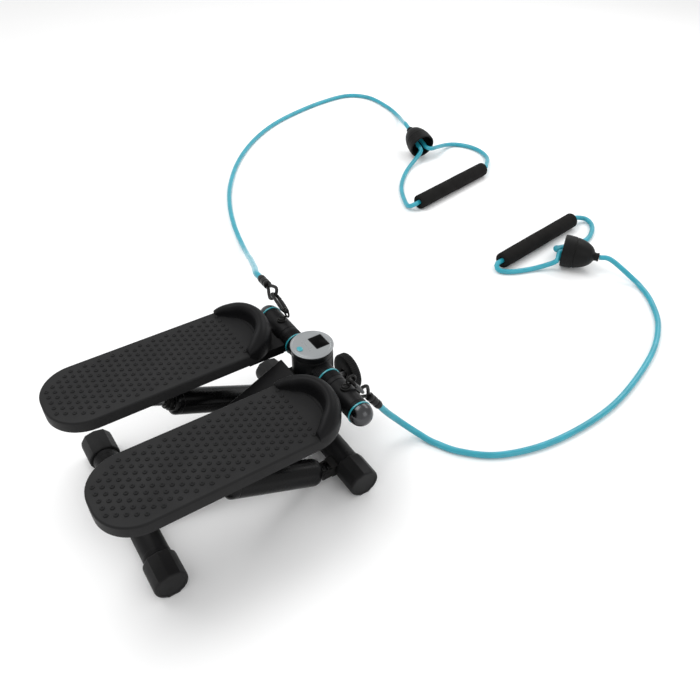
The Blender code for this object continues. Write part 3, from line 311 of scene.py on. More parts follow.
def rounded(profile, radius, steps=4):
    """The (radius, along) profile with its inner corners turned into small arcs."""
    if not radius:
        return profile
    points = [profile[0]]
    for before, corner, after in zip(profile, profile[1:], profile[2:]):
        a, c, b = Vector(before), Vector(corner), Vector(after)
        first, last = (a - c), (b - c)
        if first.length < 1e-6 or last.length < 1e-6:
            points.append(corner)
            continue
        cut = min(radius, first.length * 0.45, last.length * 0.45)
        start, end = c + first.normalized() * cut, c + last.normalized() * cut
        for i in range(steps + 1):
            t = i / steps
            points.append(tuple(start * (1 - t) ** 2 + c * (2 * t * (1 - t)) + end * t ** 2))
    points.append(profile[-1])
    return points


def bridge(bm, rings):
    """Faces from each ring of points to the next; a ring may be a single point."""
    for lower, upper in zip(rings, rings[1:]):
        for i in range(max(len(lower), len(upper))):
            corners = [lower[i % len(lower)], lower[(i + 1) % len(lower)],
                       upper[(i + 1) % len(upper)], upper[i % len(upper)]]
            unique = list(dict.fromkeys(corners))
            if len(unique) > 2:
                bm.faces.new(unique)


def close(bm, rings):
    """A closed body from its rings, with a face at either end."""
    bridge(bm, rings)
    bm.faces.new(rings[0])
    bm.faces.new(rings[-1])


def add_lathe(bm, profile, start, axis, steps=72, wave=None):
    """Turns an open profile that starts and ends on the axis, or a closed one round a bore."""
    axis, first, second = frame_of(axis)
    rings = []
    for index, (radius, along) in enumerate(profile):
        centre = Vector(start) + axis * along
        if radius < 1e-7:
            rings.append([bm.verts.new(centre)])
            continue
        ring = []
        for i in range(steps):
            a = 2 * math.pi * i / steps
            r = radius + (wave(index, radius, along, a) if wave else 0.0)
            ring.append(bm.verts.new(centre + first * (r * math.cos(a)) + second * (r * math.sin(a))))
        rings.append(ring)
    bridge(bm, rings)
    if profile[0][0] > 1e-7:
        bridge(bm, (rings[-1], rings[0]))


def lathe(name, profile, start, axis, slot, body, replaced=(), steps=72, rounding=0.0006, wave=None,
          smooth=30):
    """A turned piece of its own."""
    bm = bmesh.new()
    add_lathe(bm, rounded(profile, rounding), start, axis, steps, wave)
    return keep(name, bm, slot, body, replaced, smooth)


def sweep(bm, points, radius, closed, normal=None, sides=16):
    """A round wire along points; the ends are capped when it isn't closed."""
    count = len(points)
    rings = []
    lead = None
    for i, point in enumerate(points):
        if closed:
            tangent = (points[(i + 1) % count] - points[i - 1]).normalized()
        else:
            tangent = (points[min(i + 1, count - 1)] - points[max(i - 1, 0)]).normalized()
        if normal is not None:
            up = (normal - tangent * normal.dot(tangent)).normalized()
        else:
            base = lead if lead is not None else frame_of(tangent)[1]
            up = (base - tangent * base.dot(tangent)).normalized()
            lead = up
        out = tangent.cross(up).normalized()
        r = radius[i] if isinstance(radius, list) else radius
        rings.append([bm.verts.new(point + out * (r * math.cos(2 * math.pi * k / sides))
                                   + up * (r * math.sin(2 * math.pi * k / sides))) for k in range(sides)])
    if closed:
        bridge(bm, [*rings, rings[0]])
    else:
        close(bm, rings)


def add_box(bm, low, high):
    """A plain box between two corners."""
    low, high = Vector(low), Vector(high)
    matrix = Matrix.Translation((low + high) / 2) @ Matrix.Diagonal((*(high - low), 1.0))
    return bmesh.ops.create_cube(bm, size=1.0, matrix=matrix)["verts"]


def soften(node, slot, width=0.0012, segments=3, angle=32):
    """A carried-over node again, with its flat faces joined and its edges rounded."""
    source = frame["nodes"][node]
    bm = bmesh.new()
    bm.from_mesh(source.data)
    bmesh.ops.remove_doubles(bm, verts=bm.verts, dist=2e-6)
    bmesh.ops.dissolve_limit(bm, angle_limit=math.radians(2.0), verts=bm.verts, edges=bm.edges)
    made = keep(node + "_soft", bm, slot, source["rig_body"], (node,), 30, recalc=False)
    bevel = made.modifiers.new("edges", "BEVEL")
    bevel.width = width
    bevel.segments = segments
    bevel.limit_method = "ANGLE"
    bevel.angle_limit = math.radians(angle)
    bevel.harden_normals = True
    bevel.use_clamp_overlap = True
    return made


# ---- pull bands (routes as in the frame) -----------------------------------------------------
CHAIN = {
    LEFT: (Vector((-EYEBOLT_X - 0.0026, EYE_CENTRE_Y, EYE_CENTRE_Z)), Vector((-0.991, 0.130, 0.010)),
           Vector((0.10, 0.80, -0.60)), Vector((-0.985, 0.160, -0.060)), Vector((-0.970, 0.120, -0.200))),
    RIGHT: (Vector((EYEBOLT_X, EYE_CENTRE_Y + 0.0005, EYE_CENTRE_Z - 0.0030)),
            Vector((-0.250, 0.500, -0.820)), Vector((0.95, 0.16, -0.20)),
            Vector((-0.180, 0.560, -0.800)), Vector((0.080, 0.540, -0.830))),
}
# Each cone from its narrow end to its mouth: the left one leans on its rim, the right one lies.
LEFT_CONE = (Vector((-0.7481, 0.8949, 0.0535)), Vector((-0.6694, 0.8845, 0.0325)))
RIGHT_CONE = (Vector((-0.0648, 0.8741, 0.0338)), Vector((-0.1196, 0.8354, 0.0340)))

# Floor and air points between a chain's ferrule and its cone, as (x, y, z).
LEFT_BAND_ROUTE = (
    (-0.2871, 0.1987, 0.1350), (-0.3414, 0.2199, 0.1050), (-0.3987, 0.2421, 0.0750),
    (-0.4478, 0.2602, 0.0470), (-0.4950, 0.2772, 0.0240), (-0.5453, 0.2922, 0.0100),
    (-0.5953, 0.3052, FLOOR_Z), (-0.6437, 0.3188, FLOOR_Z),
    (-0.7163, 0.3449, FLOOR_Z), (-0.7951, 0.3824, FLOOR_Z), (-0.8771, 0.4353, FLOOR_Z),
    (-0.9416, 0.4881, FLOOR_Z), (-1.0010, 0.5499, FLOOR_Z), (-1.0478, 0.6133, FLOOR_Z),
    (-1.0826, 0.6771, FLOOR_Z), (-1.1099, 0.7517, FLOOR_Z), (-1.1336, 0.8509, FLOOR_Z),
    (-1.1355, 0.9451, FLOOR_Z), (-1.0875, 0.9951, FLOOR_Z), (-0.9976, 1.0014, FLOOR_Z),
    (-0.9223, 0.9863, 0.0080), (-0.8605, 0.9539, 0.0240), (-0.8072, 0.9221, 0.0430),
)
RIGHT_BAND_ROUTE = (
    (0.0838, 0.2480, 0.0400), (0.0925, 0.2640, 0.0215), (0.1075, 0.2765, 0.0105),
    (0.1307, 0.2880, FLOOR_Z), (0.1683, 0.3107, FLOOR_Z), (0.2072, 0.3576, FLOOR_Z),
    (0.2318, 0.4371, FLOOR_Z), (0.2359, 0.5368, FLOOR_Z), (0.2209, 0.6324, FLOOR_Z),
    (0.1785, 0.7524, FLOOR_Z), (0.1298, 0.8300, FLOOR_Z), (0.0779, 0.8754, FLOOR_Z),
    (0.0366, 0.8979, FLOOR_Z), (0.0079, 0.9011, 0.0120),
)

# Each grip's two end centres, and the strand's points from the cone's mouth to either end.
LEFT_GRIP = (Vector((-0.4748, 0.7197, GRIP_R)), Vector((-0.5210, 0.9581, GRIP_R)))
RIGHT_GRIP = (Vector((-0.1835, 0.7156, GRIP_R)), Vector((-0.2203, 0.9616, GRIP_R)))
LEFT_STRAND_NEAR = (
    (-0.6685, 0.8732, 0.0263), (-0.6619, 0.8524, 0.0144), (-0.6426, 0.8152, 0.0066),
    (-0.6114, 0.7772, FLOOR_Z), (-0.5733, 0.7422, FLOOR_Z), (-0.5296, 0.7161, FLOOR_Z),
    (-0.4870, 0.6985, 0.0085),
)
LEFT_STRAND_FAR = (
    (-0.5352, 0.9834, 0.0145), (-0.5717, 1.0201, 0.0080), (-0.6107, 1.0359, FLOOR_Z),
    (-0.6526, 1.0316, FLOOR_Z), (-0.6863, 1.0078, 0.0060), (-0.6894, 0.9749, 0.0115),
    (-0.6720, 0.9307, 0.0240), (-0.6613, 0.9015, 0.0313),
)
RIGHT_STRAND_NEAR = (
    (-0.1134, 0.8045, 0.0245), (-0.1246, 0.7928, 0.0125), (-0.1372, 0.7634, 0.0060),
    (-0.1489, 0.7292, FLOOR_Z), (-0.1609, 0.7083, FLOOR_Z), (-0.1731, 0.6988, 0.0072),
    (-0.1807, 0.6999, 0.0125),
)
RIGHT_STRAND_FAR = (
    (-0.2224, 0.9836, 0.0150), (-0.2153, 1.0040, 0.0085), (-0.1975, 1.0030, FLOOR_Z),
    (-0.1749, 0.9823, FLOOR_Z), (-0.1569, 0.9500, FLOOR_Z), (-0.1543, 0.9188, FLOOR_Z),
    (-0.1605, 0.8700, 0.0085), (-0.1530, 0.8430, 0.0205), (-0.1372, 0.8276, 0.0292),
)


def between(before, start, end, after, t):
    """The point a share t of the way from start to end on a smooth curve through all four."""
    return 0.5 * (2 * start + (end - before) * t + (2 * before - 5 * start + 4 * end - after) * t ** 2
                  + (3 * start - before - 3 * end + after) * t ** 3)


def smooth_route(route, spacing):
    """Points at about this spacing on a smooth curve through the route."""
    route = [Vector(point) for point in route]
    padded = [route[0] * 2 - route[1], *route, route[-1] * 2 - route[-2]]
    fine = []
    for before, start, end, after in zip(padded, padded[1:], padded[2:], padded[3:]):
        for step in range(24):
            t = step / 24
            fine.append(between(before, start, end, after, t))
    fine.append(route[-1])
    travelled = [0.0]
    for a, b in zip(fine, fine[1:]):
        travelled.append(travelled[-1] + (b - a).length)
    count = max(2, round(travelled[-1] / spacing))
    points, index = [], 0
    for i in range(count + 1):
        wanted = travelled[-1] * i / count
        while index < len(fine) - 2 and travelled[index + 1] < wanted:
            index += 1
        span = travelled[index + 1] - travelled[index]
        share = (wanted - travelled[index]) / span if span else 0.0
        point = fine[index].lerp(fine[index + 1], share)
        point.z = max(point.z, FLOOR_Z)
        points.append(point)
    return points


def across(direction, width):
    """The width direction made square to the running direction."""
    direction = direction.normalized()
    return (width - direction * width.dot(direction)).normalized()


def chain_points(side):
    """Start, running direction and width direction of the hook, the loop and the ferrule."""
    start, hook_dir, width, loop_dir, ferrule_dir = CHAIN[side]
    hook_dir, loop_dir, ferrule_dir = (v.normalized() for v in (hook_dir, loop_dir, ferrule_dir))
    hook_width = across(hook_dir, width)
    hook_end = start + hook_dir * HOOK_LENGTH
    loop_start = hook_end - hook_dir * (2 * LINK_WIRE + 0.0006)
    loop_width = across(loop_dir, loop_dir.cross(hook_width))
    ferrule_start = loop_start + loop_dir * LOOP_LENGTH
    return {"hook": (start, hook_dir, hook_width), "loop": (loop_start, loop_dir, loop_width),
            "ferrule": (ferrule_start, ferrule_dir, None)}


def teardrop(start, direction, width, length, half):
    """Closed outline, round at the start and narrowing to two close wires at the far end."""
    points = []
    steps = 10
    for i in range(steps + 1):
        angle = math.radians(75 + 210 * i / steps)
        points.append(start + direction * (half + half * math.cos(angle)) + width * (half * math.sin(angle)))
    sides = ((0.62, -0.66), (0.82, -0.34), (1.12, -0.24), (1.12, 0.24), (0.82, 0.34), (0.62, 0.66))
    for along, share in sides:
        points.append(start + direction * (length * along) + width * (half * share))
    return points


def cone_line(side):
    """Centre of a cone's narrow end, and the direction from it to the mouth."""
    narrow, wide = LEFT_CONE if side == LEFT else RIGHT_CONE
    return narrow, (wide - narrow).normalized()


def band_route(side):
    """From the ferrule, over the floor, to the narrow end of the cone."""
    ferrule_start, ferrule_dir, _ = chain_points(side)["ferrule"]
    leave = ferrule_start + ferrule_dir * (FERRULE_LENGTH + GAP)
    narrow, axis = cone_line(side)
    arrive = narrow - axis * GAP
    middle = LEFT_BAND_ROUTE if side == LEFT else RIGHT_BAND_ROUTE
    return [leave, leave + ferrule_dir * 0.024, *middle, arrive - axis * 0.024, arrive]


def strand_route(side):
    """Out of the cone, through the grip and back into the cone."""
    near_end, far_end = LEFT_GRIP if side == LEFT else RIGHT_GRIP
    near = LEFT_STRAND_NEAR if side == LEFT else RIGHT_STRAND_NEAR
    far = LEFT_STRAND_FAR if side == LEFT else RIGHT_STRAND_FAR
    narrow, axis = cone_line(side)
    seat = narrow + axis * (CONE_CAVITY + GAP)
    lip = narrow + axis * (CONE_LENGTH + 0.004)
    flat = Vector((-axis.y, axis.x, 0.0)).normalized()
    inward = (far_end - near_end).normalized()
    through = [near_end - inward * 0.012, near_end + inward * 0.002, near_end.lerp(far_end, 0.33),
               near_end.lerp(far_end, 0.67), far_end - inward * 0.002, far_end + inward * 0.012]
    first, last = flat * (STRAND_APART * side), flat * (-STRAND_APART * side)
    return [seat + first, seat + axis * 0.024 + first, lip + first, *near, *through, *far,
            lip + last, seat + axis * 0.024 + last, seat + last]


def make_cord(name, route, slot, node):
    """An elastic cord as an open curve; returns the object and its length."""
    points = smooth_route(route, CORD_STEP)
    data = bpy.data.curves.new(name, "CURVE")
    data.dimensions = "3D"
    data.bevel_depth = BAND_R
    data.bevel_resolution = 6
    data.use_fill_caps = True
    spline = data.splines.new("POLY")
    spline.points.add(len(points) - 1)
    for item, point in zip(spline.points, points):
        item.co = (*point, 1.0)
    spline.use_smooth = True
    made = bpy.data.objects.new(name, data)
    bpy.context.scene.collection.objects.link(made)
    data.materials.append(MATERIALS[slot])
    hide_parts(node)
    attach(made, "frame")
    length = sum((b - a).length for a, b in zip(points, points[1:]))
    return made, length, points[0]


# ---- hardware on the bands -------------------------------------------------------------------
def stadium(start, direction, width, length, half, steps=18):
    """Closed outline whose two round ends touch the given start and the far end."""
    points = []
    for centre, turn in ((half, 90), (length - half, -90)):
        for i in range(steps + 1):
            a = math.radians(turn + 180 * i / steps)
            points.append(start + direction * (centre + half * math.cos(a)) + width * (half * math.sin(a)))
    return points


def hook(side):
    """A slim spring hook: a closed wire, and a thicker gate with its rivet."""
    prefix = SIDE_NAMES[side]
    start, direction, width = chain_points(side)["hook"]
    normal = direction.cross(width).normalized()
    bm = bmesh.new()
    sweep(bm, stadium(start, direction, width, HOOK_LENGTH, HOOK_HALF_WIDTH), LINK_WIRE_SHOWN, True, normal)
    gate_from = start + direction * 0.010 + width * HOOK_HALF_WIDTH
    gate_to = start + direction * 0.036 + width * HOOK_HALF_WIDTH
    gate = [gate_from.lerp(gate_to, i / 12) for i in range(13)]
    sweep(bm, gate, [0.0030 + 0.0005 * math.sin(math.pi * i / 12) for i in range(13)], False, normal)
    rivet = start + direction * 0.037 + width * HOOK_HALF_WIDTH - normal * 0.0034
    add_lathe(bm, [(0, 0), (0.0014, 0), (0.0016, 0.0003), (0.0016, 0.0065), (0.0014, 0.0068), (0, 0.0068)],
              rivet, normal, 20)
    return keep(prefix + "_hook_wire", bm, "hardware_black", "frame", (prefix + "_snap_hook",))


def ferrule(side):
    """Pear loop of wire and the crimped sleeve that holds the band."""
    prefix = SIDE_NAMES[side]
    placed = chain_points(side)
    start, direction, width = placed["loop"]
    normal = direction.cross(width).normalized()
    rough_points = teardrop(start, direction, width, LOOP_LENGTH, LOOP_HALF_WIDTH)
    points = smooth_closed(rough_points, 5)
    bm = bmesh.new()
    sweep(bm, points, LINK_WIRE_SHOWN, True, normal)
    at, along, _ = placed["ferrule"]
    r = FERRULE_R
    profile = [(0, 0), (0.0036, 0), (r - 0.0007, 0.0007), (r, 0.0022), (r, 0.0060), (r - 0.0008, 0.0078),
               (r - 0.0009, 0.0098), (r, 0.0116), (r, 0.0196), (r - 0.0008, 0.0214), (r - 0.0009, 0.0234),
               (r, 0.0252), (r, FERRULE_LENGTH - 0.0030), (r - 0.0006, FERRULE_LENGTH - 0.0012),
               (r - 0.0008, FERRULE_LENGTH), (BAND_R + 0.0001, FERRULE_LENGTH),
               (BAND_R, FERRULE_LENGTH - 0.0020), (0, FERRULE_LENGTH - 0.0020)]
    add_lathe(bm, rounded(profile, 0.0007), at, along, 48)
    return keep(prefix + "_ferrule", bm, "ferrule_metal", "frame", (prefix + "_wire_ferrule",))


def smooth_closed(points, steps):
    """A closed Catmull-Rom curve through the points."""
    count = len(points)
    made = []
    for i in range(count):
        before, start, end, after = (points[(i + k) % count] for k in (-1, 0, 1, 2))
        for step in range(steps):
            t = step / steps
            made.append(between(before, start, end, after, t))
    return made


def cone_cover(side):
    """Rubber stopper: neck, swelling body with a step near the mouth, hollow inside."""
    start, axis = cone_line(side)
    m, c = CONE_MOUTH_R, CONE_COLLAR_R
    profile = [(0.0, 0.0035), (BAND_R + 0.0002, 0.0035), (BAND_R + 0.0002, 0.0), (c - 0.0016, 0.0),
               (c - 0.0006, 0.0012), (c - 0.0006, 0.0030), (c - 0.0012, 0.0038), (c - 0.0012, 0.0085),
               (c, 0.0100), (0.0141, 0.0122),
               (0.0188, 0.0162), (0.0228, 0.0216), (0.0263, 0.0286), (0.0292, 0.0364), (0.0313, 0.0450),
               (0.0318, 0.0478), (0.0311, 0.0484), (0.0311, 0.0496), (0.0325, 0.0502), (m - 0.0004, 0.0600),
               (m - 0.0004, 0.0612), (m, 0.0616), (m, CONE_LENGTH - 0.0018), (m - 0.0012, CONE_LENGTH),
               (0.0302, CONE_LENGTH), (0.0294, CONE_LENGTH - 0.0010), (0.0283, CONE_LENGTH - 0.0070),
               (0.0260, CONE_CAVITY + 0.012), (0.0225, CONE_CAVITY + 0.0006), (0.0, CONE_CAVITY)]
    return lathe(f"{SIDE_NAMES[side]}_stopper", profile, start, axis, "stopper_rubber", "frame",
                 (f"{SIDE_NAMES[side]}_cone",), 96, 0.0008, smooth=40)


def grip(side):
    """Foam tube: soft ends, fine lengthwise ribs and shallow dents."""
    near_end, far_end = LEFT_GRIP if side == LEFT else RIGHT_GRIP
    length = (far_end - near_end).length
    bore, outer = BAND_R + 0.0016, GRIP_R - 0.0003
    end = [(bore, 0.010), (bore, 0.0012), (bore + 0.0012, 0.0), (outer - 0.0036, 0.0),
           (outer - 0.0018, 0.0004), (outer - 0.0006, 0.0014), (outer, 0.0032)]
    steps = 60
    middle = [(outer, 0.0032 + (length - 0.0064) * i / steps) for i in range(1, steps)]
    profile = end + middle + [(radius, length - along) for radius, along in reversed(end)]

    def wave(index, radius, along, angle):
        if radius < outer - 0.001:
            return 0.0
        ribs = -0.00022 * (0.5 + 0.5 * math.cos(36 * angle))
        dents = -0.00022 * (1 + math.sin(along * 61 + 1.3 * side) * math.sin(2 * angle + along * 23))
        return ribs + dents

    made = lathe(f"{SIDE_NAMES[side]}_foam", profile, near_end, far_end - near_end, "grip_foam", "frame",
                 (f"{SIDE_NAMES[side]}_foam_grip",), 144, 0.0, wave, smooth=50)
    return made


def pull_band(side):
    """One whole pull band: hardware, cone, grip and both cords."""
    prefix = SIDE_NAMES[side]
    hook_wire, sleeve = hook(side), ferrule(side)
    stopper, foam = cone_cover(side), grip(side)
    cord, length, leave = make_cord(prefix + "_band_cord", band_route(side), "band_elastic", prefix + "_band")
    strand, reach, begin = make_cord(prefix + "_strand_cord", strand_route(side), "band_elastic",
                                     prefix + "_loop_strand")


# ---- base and frame ----------------------------------------------------------------------------
def base_tube(name, y):
    """Painted tube with a faint raised band near each cap."""
    half = BASE_HALF - BASE_CAP_LENGTH - GAP
    r = TUBE_R
    profile = [(0, 0), (r - 0.0012, 0), (r, 0.0008), (r, 0.004), (r + 0.0002, 0.0046), (r + 0.0002, 0.0090),
               (r, 0.0096), (r, 2 * half - 0.0096), (r + 0.0002, 2 * half - 0.0090),
               (r + 0.0002, 2 * half - 0.0046), (r, 2 * half - 0.004), (r, 2 * half - 0.0008),
               (r - 0.0012, 2 * half), (0, 2 * half)]
    lathe(name + "_round", profile, (-half, y, BASE_Z), (1, 0, 0), "frame_paint", "frame", (name,), 96,
          0.0004)


def cap_section(scale):
    """The foot cap's outline, as in the frame but finer: flat sole, round sides, two top facets."""
    r = CAP_R
    half = [(r * 0.34, -r)]
    for i in range(1, 17):
        a = math.radians(-68 + 88 * i / 16)
        half.append((r * math.cos(a), r * math.sin(a)))
    corner = (r * 0.62, r * 0.78)
    half += [(half[-1][0] * 0.35 + corner[0] * 0.65, half[-1][1] * 0.35 + corner[1] * 0.65), corner]
    ridge = (0.0, r * 0.92)
    half += [(corner[0] * 0.5, corner[1] * 0.5 + ridge[1] * 0.5)]
    return [(y * scale, z * scale) for y, z in half + [ridge] + [(-y, z) for y, z in reversed(half)]]


def foot_cap(side, where, y):
    """Moulded cap over a tube end, with a rounded lip and a sunk end face."""
    name = f"{where}_{SIDE_NAMES[side]}_foot_cap"
    inner = BASE_HALF - BASE_CAP_LENGTH
    stations = [(inner, 0.87), (inner + 0.0002, 0.955), (inner + 0.0012, 0.985), (inner + 0.0030, 0.998),
                (inner + 0.0040, 1.0), (BASE_HALF - 0.0044, 1.0), (BASE_HALF - 0.0030, 0.994),
                (BASE_HALF - 0.0014, 0.975), (BASE_HALF - 0.0004, 0.945), (BASE_HALF - 0.0001, 0.90),
                (BASE_HALF - 0.0001, 0.80), (BASE_HALF - 0.0007, 0.785), (BASE_HALF - 0.0007, 0.40)]
    bm = bmesh.new()
    rings = []
    for x, scale in stations:
        rings.append([bm.verts.new((side * x, y + dy, BASE_Z + dz)) for dy, dz in cap_section(scale)])
    close(bm, rings)
    keep(name + "_moulded", bm, "cap_plastic", "frame", (name,), 24)


# ---- bar and counter ---------------------------------------------------------------------------
def ring_piece(name, low, high, outer, inner, slot, body, node, side, rounding=0.0008, extra=None):
    """A ring round the bar from low to high; extra gives its outer outline where that isn't plain."""
    width = high - low
    profile = [(inner, 0), (outer, 0), (outer, width), (inner, width)]
    if extra:
        profile = [(inner, 0), *extra(outer, width), (inner, width)]
    full = rounded(profile + [profile[0]], rounding)[1:-1]
    full = [profile[0]] + full
    replaced = (node,) if node else ()
    return lathe(name, full, (side * low, BAR_Y, BAR_Z), (side, 0, 0), slot, body, replaced, 96, 0.0)


def bar_side(side):
    """Trim rings, collar and end dome on one side of the bar."""
    prefix = SIDE_NAMES[side]
    half = RING_WIDTH / 2
    for label, middle in (("inner", INNER_RING_X), ("outer", OUTER_RING_X)):
        ring_piece(f"{prefix}_{label}_trim", middle - TRIM_HALF, middle + TRIM_HALF, BAR_R + 0.0010,
                   RING_BORE, "teal_trim", "frame", f"{prefix}_{label}_ring", side, 0.0008)
        seat = TRIM_HALF + 0.0001
        seats = (("near", middle - half + GAP, middle - seat), ("far", middle + seat, middle + half))
        for part, low, high in seats:
            ring_piece(f"{prefix}_{label}_seat_{part}", low, high, BAR_R - 0.0002, RING_BORE,
                       "frame_paint", "frame", None, side, 0.0002)

    def collar(outer, width):
        return [(outer - 0.0006, 0), (outer, 0.0006), (outer, width - 0.0050),
                (outer - 0.0005, width - 0.0046), (outer - 0.0005, width - 0.0034),
                (outer, width - 0.0030), (outer, width - 0.0006), (outer - 0.0006, width)]

    ring_piece(prefix + "_collar", *COLLAR_X, BAR_R, RING_BORE, "frame_paint", "frame",
               prefix + "_bar_collar", side, 0.0003, collar)
    start = OUTER_RING_X + half + GAP
    profile = [(0.0, 0.0)]
    first = math.acos((start - DOME_X) / BAR_R)
    for i in range(24):
        a = first * (1 - i / 24)
        profile.append((BAR_R * math.sin(a), DOME_X - start + BAR_R * math.cos(a)))
    profile.append((0.0, DOME_X - start + BAR_R))
    lathe(prefix + "_dome", profile, (side * start, BAR_Y, BAR_Z), (side, 0, 0), "dome_metal", "frame",
          (prefix + "_end_dome",), 96, 0.0004)


def eye(side):
    """Screw boss in a sunk seat, a lug and the wire eye."""
    prefix = SIDE_NAMES[side]
    top = BAR_Z + BAR_R
    bm = bmesh.new()
    boss = [(0, -0.0014), (0.0072, -0.0014), (0.0073, 0.0024), (0.0066, 0.0030), (0.0060, 0.0030),
            (0.0058, 0.0024), (0.0050, 0.0024), (0.0049, 0.0036), (0.0044, 0.0046), (0.0034, 0.0051),
            (0.0026, 0.0052), (0.0024, 0.0040), (0.0, 0.0040)]
    add_lathe(bm, rounded(boss, 0.0004), (side * EYEBOLT_X, BAR_Y, top), (0, 0, 1), 64)
    keep(prefix + "_eye_boss", bm, "hardware_black", "frame", ())
    bm = bmesh.new()
    centre = Vector((side * EYEBOLT_X, EYE_CENTRE_Y, EYE_CENTRE_Z))
    flat = Vector((1, 0, 0)) if side == LEFT else Vector((0, 1, 0))
    circle = [centre + flat * (EYE_RING_R * math.cos(2 * math.pi * i / 48))
              + Vector((0, 0, 1)) * (EYE_RING_R * math.sin(2 * math.pi * i / 48)) for i in range(48)]
    sweep(bm, circle, EYE_WIRE, True, flat.cross(Vector((0, 0, 1))))
    if side == LEFT:
        lug = [Vector((side * EYEBOLT_X, BAR_Y + 0.003 + 0.0075 * i / 6, EYE_CENTRE_Z - EYE_RING_R + 0.0004))
               for i in range(7)]
        sweep(bm, lug, 0.0016, False)
    keep(prefix + "_eye_wire", bm, "hardware_black", "frame", (prefix + "_eyebolt",))


def hub():
    """Drum with a shadow groove under the face, parting line and the two bar sockets."""
    height = HUB_TOP - HUB_BOTTOM
    r = HUB_R
    profile = [(0, 0), (r - 0.005, 0), (r - 0.002, 0.0012), (r - 0.0003, 0.0040), (r, 0.0070),
               (r, height - 0.0120), (r - 0.0005, height - 0.0116), (r - 0.0005, height - 0.0108),
               (r, height - 0.0104),
               (r, height - 0.0022), (r - 0.0010, height - 0.0016), (r - 0.0010, height), (0, height)]
    bm = bmesh.new()
    add_lathe(bm, rounded(profile, 0.0005), (0, HUB_Y, HUB_BOTTOM), (0, 0, 1), 96)
    keep("counter_drum", bm, "housing_plastic", "frame", ("hub_housing",))
    reach = INNER_RING_X - RING_WIDTH / 2 - GAP
    for side in (LEFT, RIGHT):
        socket = [(0, 0), (BAR_R - 0.0002, 0), (BAR_R - 0.0002, reach - 0.0150)]
        for i in range(4):
            at = reach - 0.0146 + 0.0034 * i
            socket += [(BAR_R - 0.0002, at), (BAR_R - 0.0009, at + 0.0003), (BAR_R - 0.0009, at + 0.0012),
                       (BAR_R - 0.0002, at + 0.0015)]
        socket += [(BAR_R - 0.0002, reach - 0.0004), (BAR_R - 0.0006, reach), (0, reach)]
        lathe(f"{SIDE_NAMES[side]}_socket", socket, (0, BAR_Y, BAR_Z), (side, 0, 0), "housing_plastic",
              "frame", (), 96, 0.0002)


def console():
    """Silver face with a rim, the screen in its bezel and the oval key."""
    top = FACE_TOP - HUB_TOP - GAP
    r = FACE_R
    bm = bmesh.new()
    profile = [(0, 0), (r - 0.0012, 0), (r, 0.0006), (r, 0.0012), (r - 0.0008, 0.0018), (r - 0.0022, top),
               (r - 0.0030, top), (r - 0.0034, top - 0.0004), (r - 0.0042, top - 0.0004),
               (r - 0.0047, top - 0.0001), (0, top - 0.0001)]
    add_lathe(bm, rounded(profile, 0.0003), (0, HUB_Y, HUB_TOP + GAP), (0, 0, 1), 128)
    keep("console_disc", bm, "console_silver", "frame", ("console_face",))
    low, high = SCREEN_LOW, SCREEN_HIGH
    bm = bmesh.new()
    plate(bm, (low[0] - 0.0012, low[1] - 0.0012), (high[0] + 0.0012, high[1] + 0.0012), FACE_TOP - 0.0003,
          FACE_TOP + 0.0001, 0.0016, 0.0002)
    keep("screen_bezel", bm, "housing_plastic", "frame")
    bm = bmesh.new()
    plate(bm, low, high, FACE_TOP - 0.0002, FACE_TOP + 0.00018, 0.0008, 0.00012)
    keep("screen_glass", bm, "screen_black", "frame", ("lcd_screen",))
    bm = bmesh.new()
    rings = []
    centre = Vector((0.0, KEY_Y, HUB_TOP + GAP + 0.0010))
    levels = ((0.0, 0.0), (1.0, 0.0), (1.0, 0.0015), (0.95, 0.0019), (0.80, 0.00215), (0.5, 0.0023),
              (0.0, 0.0024))
    for scale, z in levels:
        if scale == 0.0:
            rings.append([bm.verts.new(centre + Vector((0, 0, z)))])
            continue
        rings.append([bm.verts.new(centre + Vector((KEY_HALF_X * scale * math.cos(2 * math.pi * i / 40),
                                                    KEY_HALF_Y * scale * math.sin(2 * math.pi * i / 40), z)))
                      for i in range(40)])
    bridge(bm, rings)
    keep("oval_key", bm, "teal_trim", "button", ("mode_button",), 40)


def round_rect(low, high, radius, steps=6):
    """Outline of a rectangle with round corners."""
    points = []
    for cx, cy, turn in ((high[0] - radius, high[1] - radius, 0), (low[0] + radius, high[1] - radius, 90),
                         (low[0] + radius, low[1] + radius, 180), (high[0] - radius, low[1] + radius, 270)):
        for i in range(steps + 1):
            a = math.radians(turn + 90 * i / steps)
            points.append((cx + radius * math.cos(a), cy + radius * math.sin(a)))
    return points


def plate(bm, low, high, bottom, top, radius, edge):
    """A flat slab with round corners in plan and a softened top edge."""
    rings = []
    for inset, z in ((0, bottom), (0, top - edge), (edge * 0.3, top - edge * 0.3), (edge, top)):
        points = round_rect((low[0] + inset, low[1] + inset), (high[0] - inset, high[1] - inset), radius)
        rings.append([bm.verts.new((x, y, z)) for x, y in points])
    close(bm, rings)


# ---- pedals ------------------------------------------------------------------------------------
def tread_outline(side, inset, heel_steps=14, toe_steps=56):
    """Plan of the tread, as in the frame but finer."""
    half = PEDAL_HALF_WIDTH - inset
    heel_y = PEDAL_TOE_Y - PEDAL_LENGTH + inset
    corner = HEEL_CORNER_R - inset
    cx = side * PEDAL_X
    points = []
    for middle, turn in ((cx - half + corner, 180), (cx + half - corner, 270)):
        for i in range(heel_steps + 1):
            a = math.radians(turn + 90 * i / heel_steps)
            points.append((middle + corner * math.cos(a), heel_y + corner + corner * math.sin(a)))
    for i in range(toe_steps + 1):
        a = math.pi * i / toe_steps
        points.append((cx + half * math.cos(a), PEDAL_TOE_Y - TOE_DEPTH + (TOE_DEPTH - inset) * math.sin(a)))
    return points


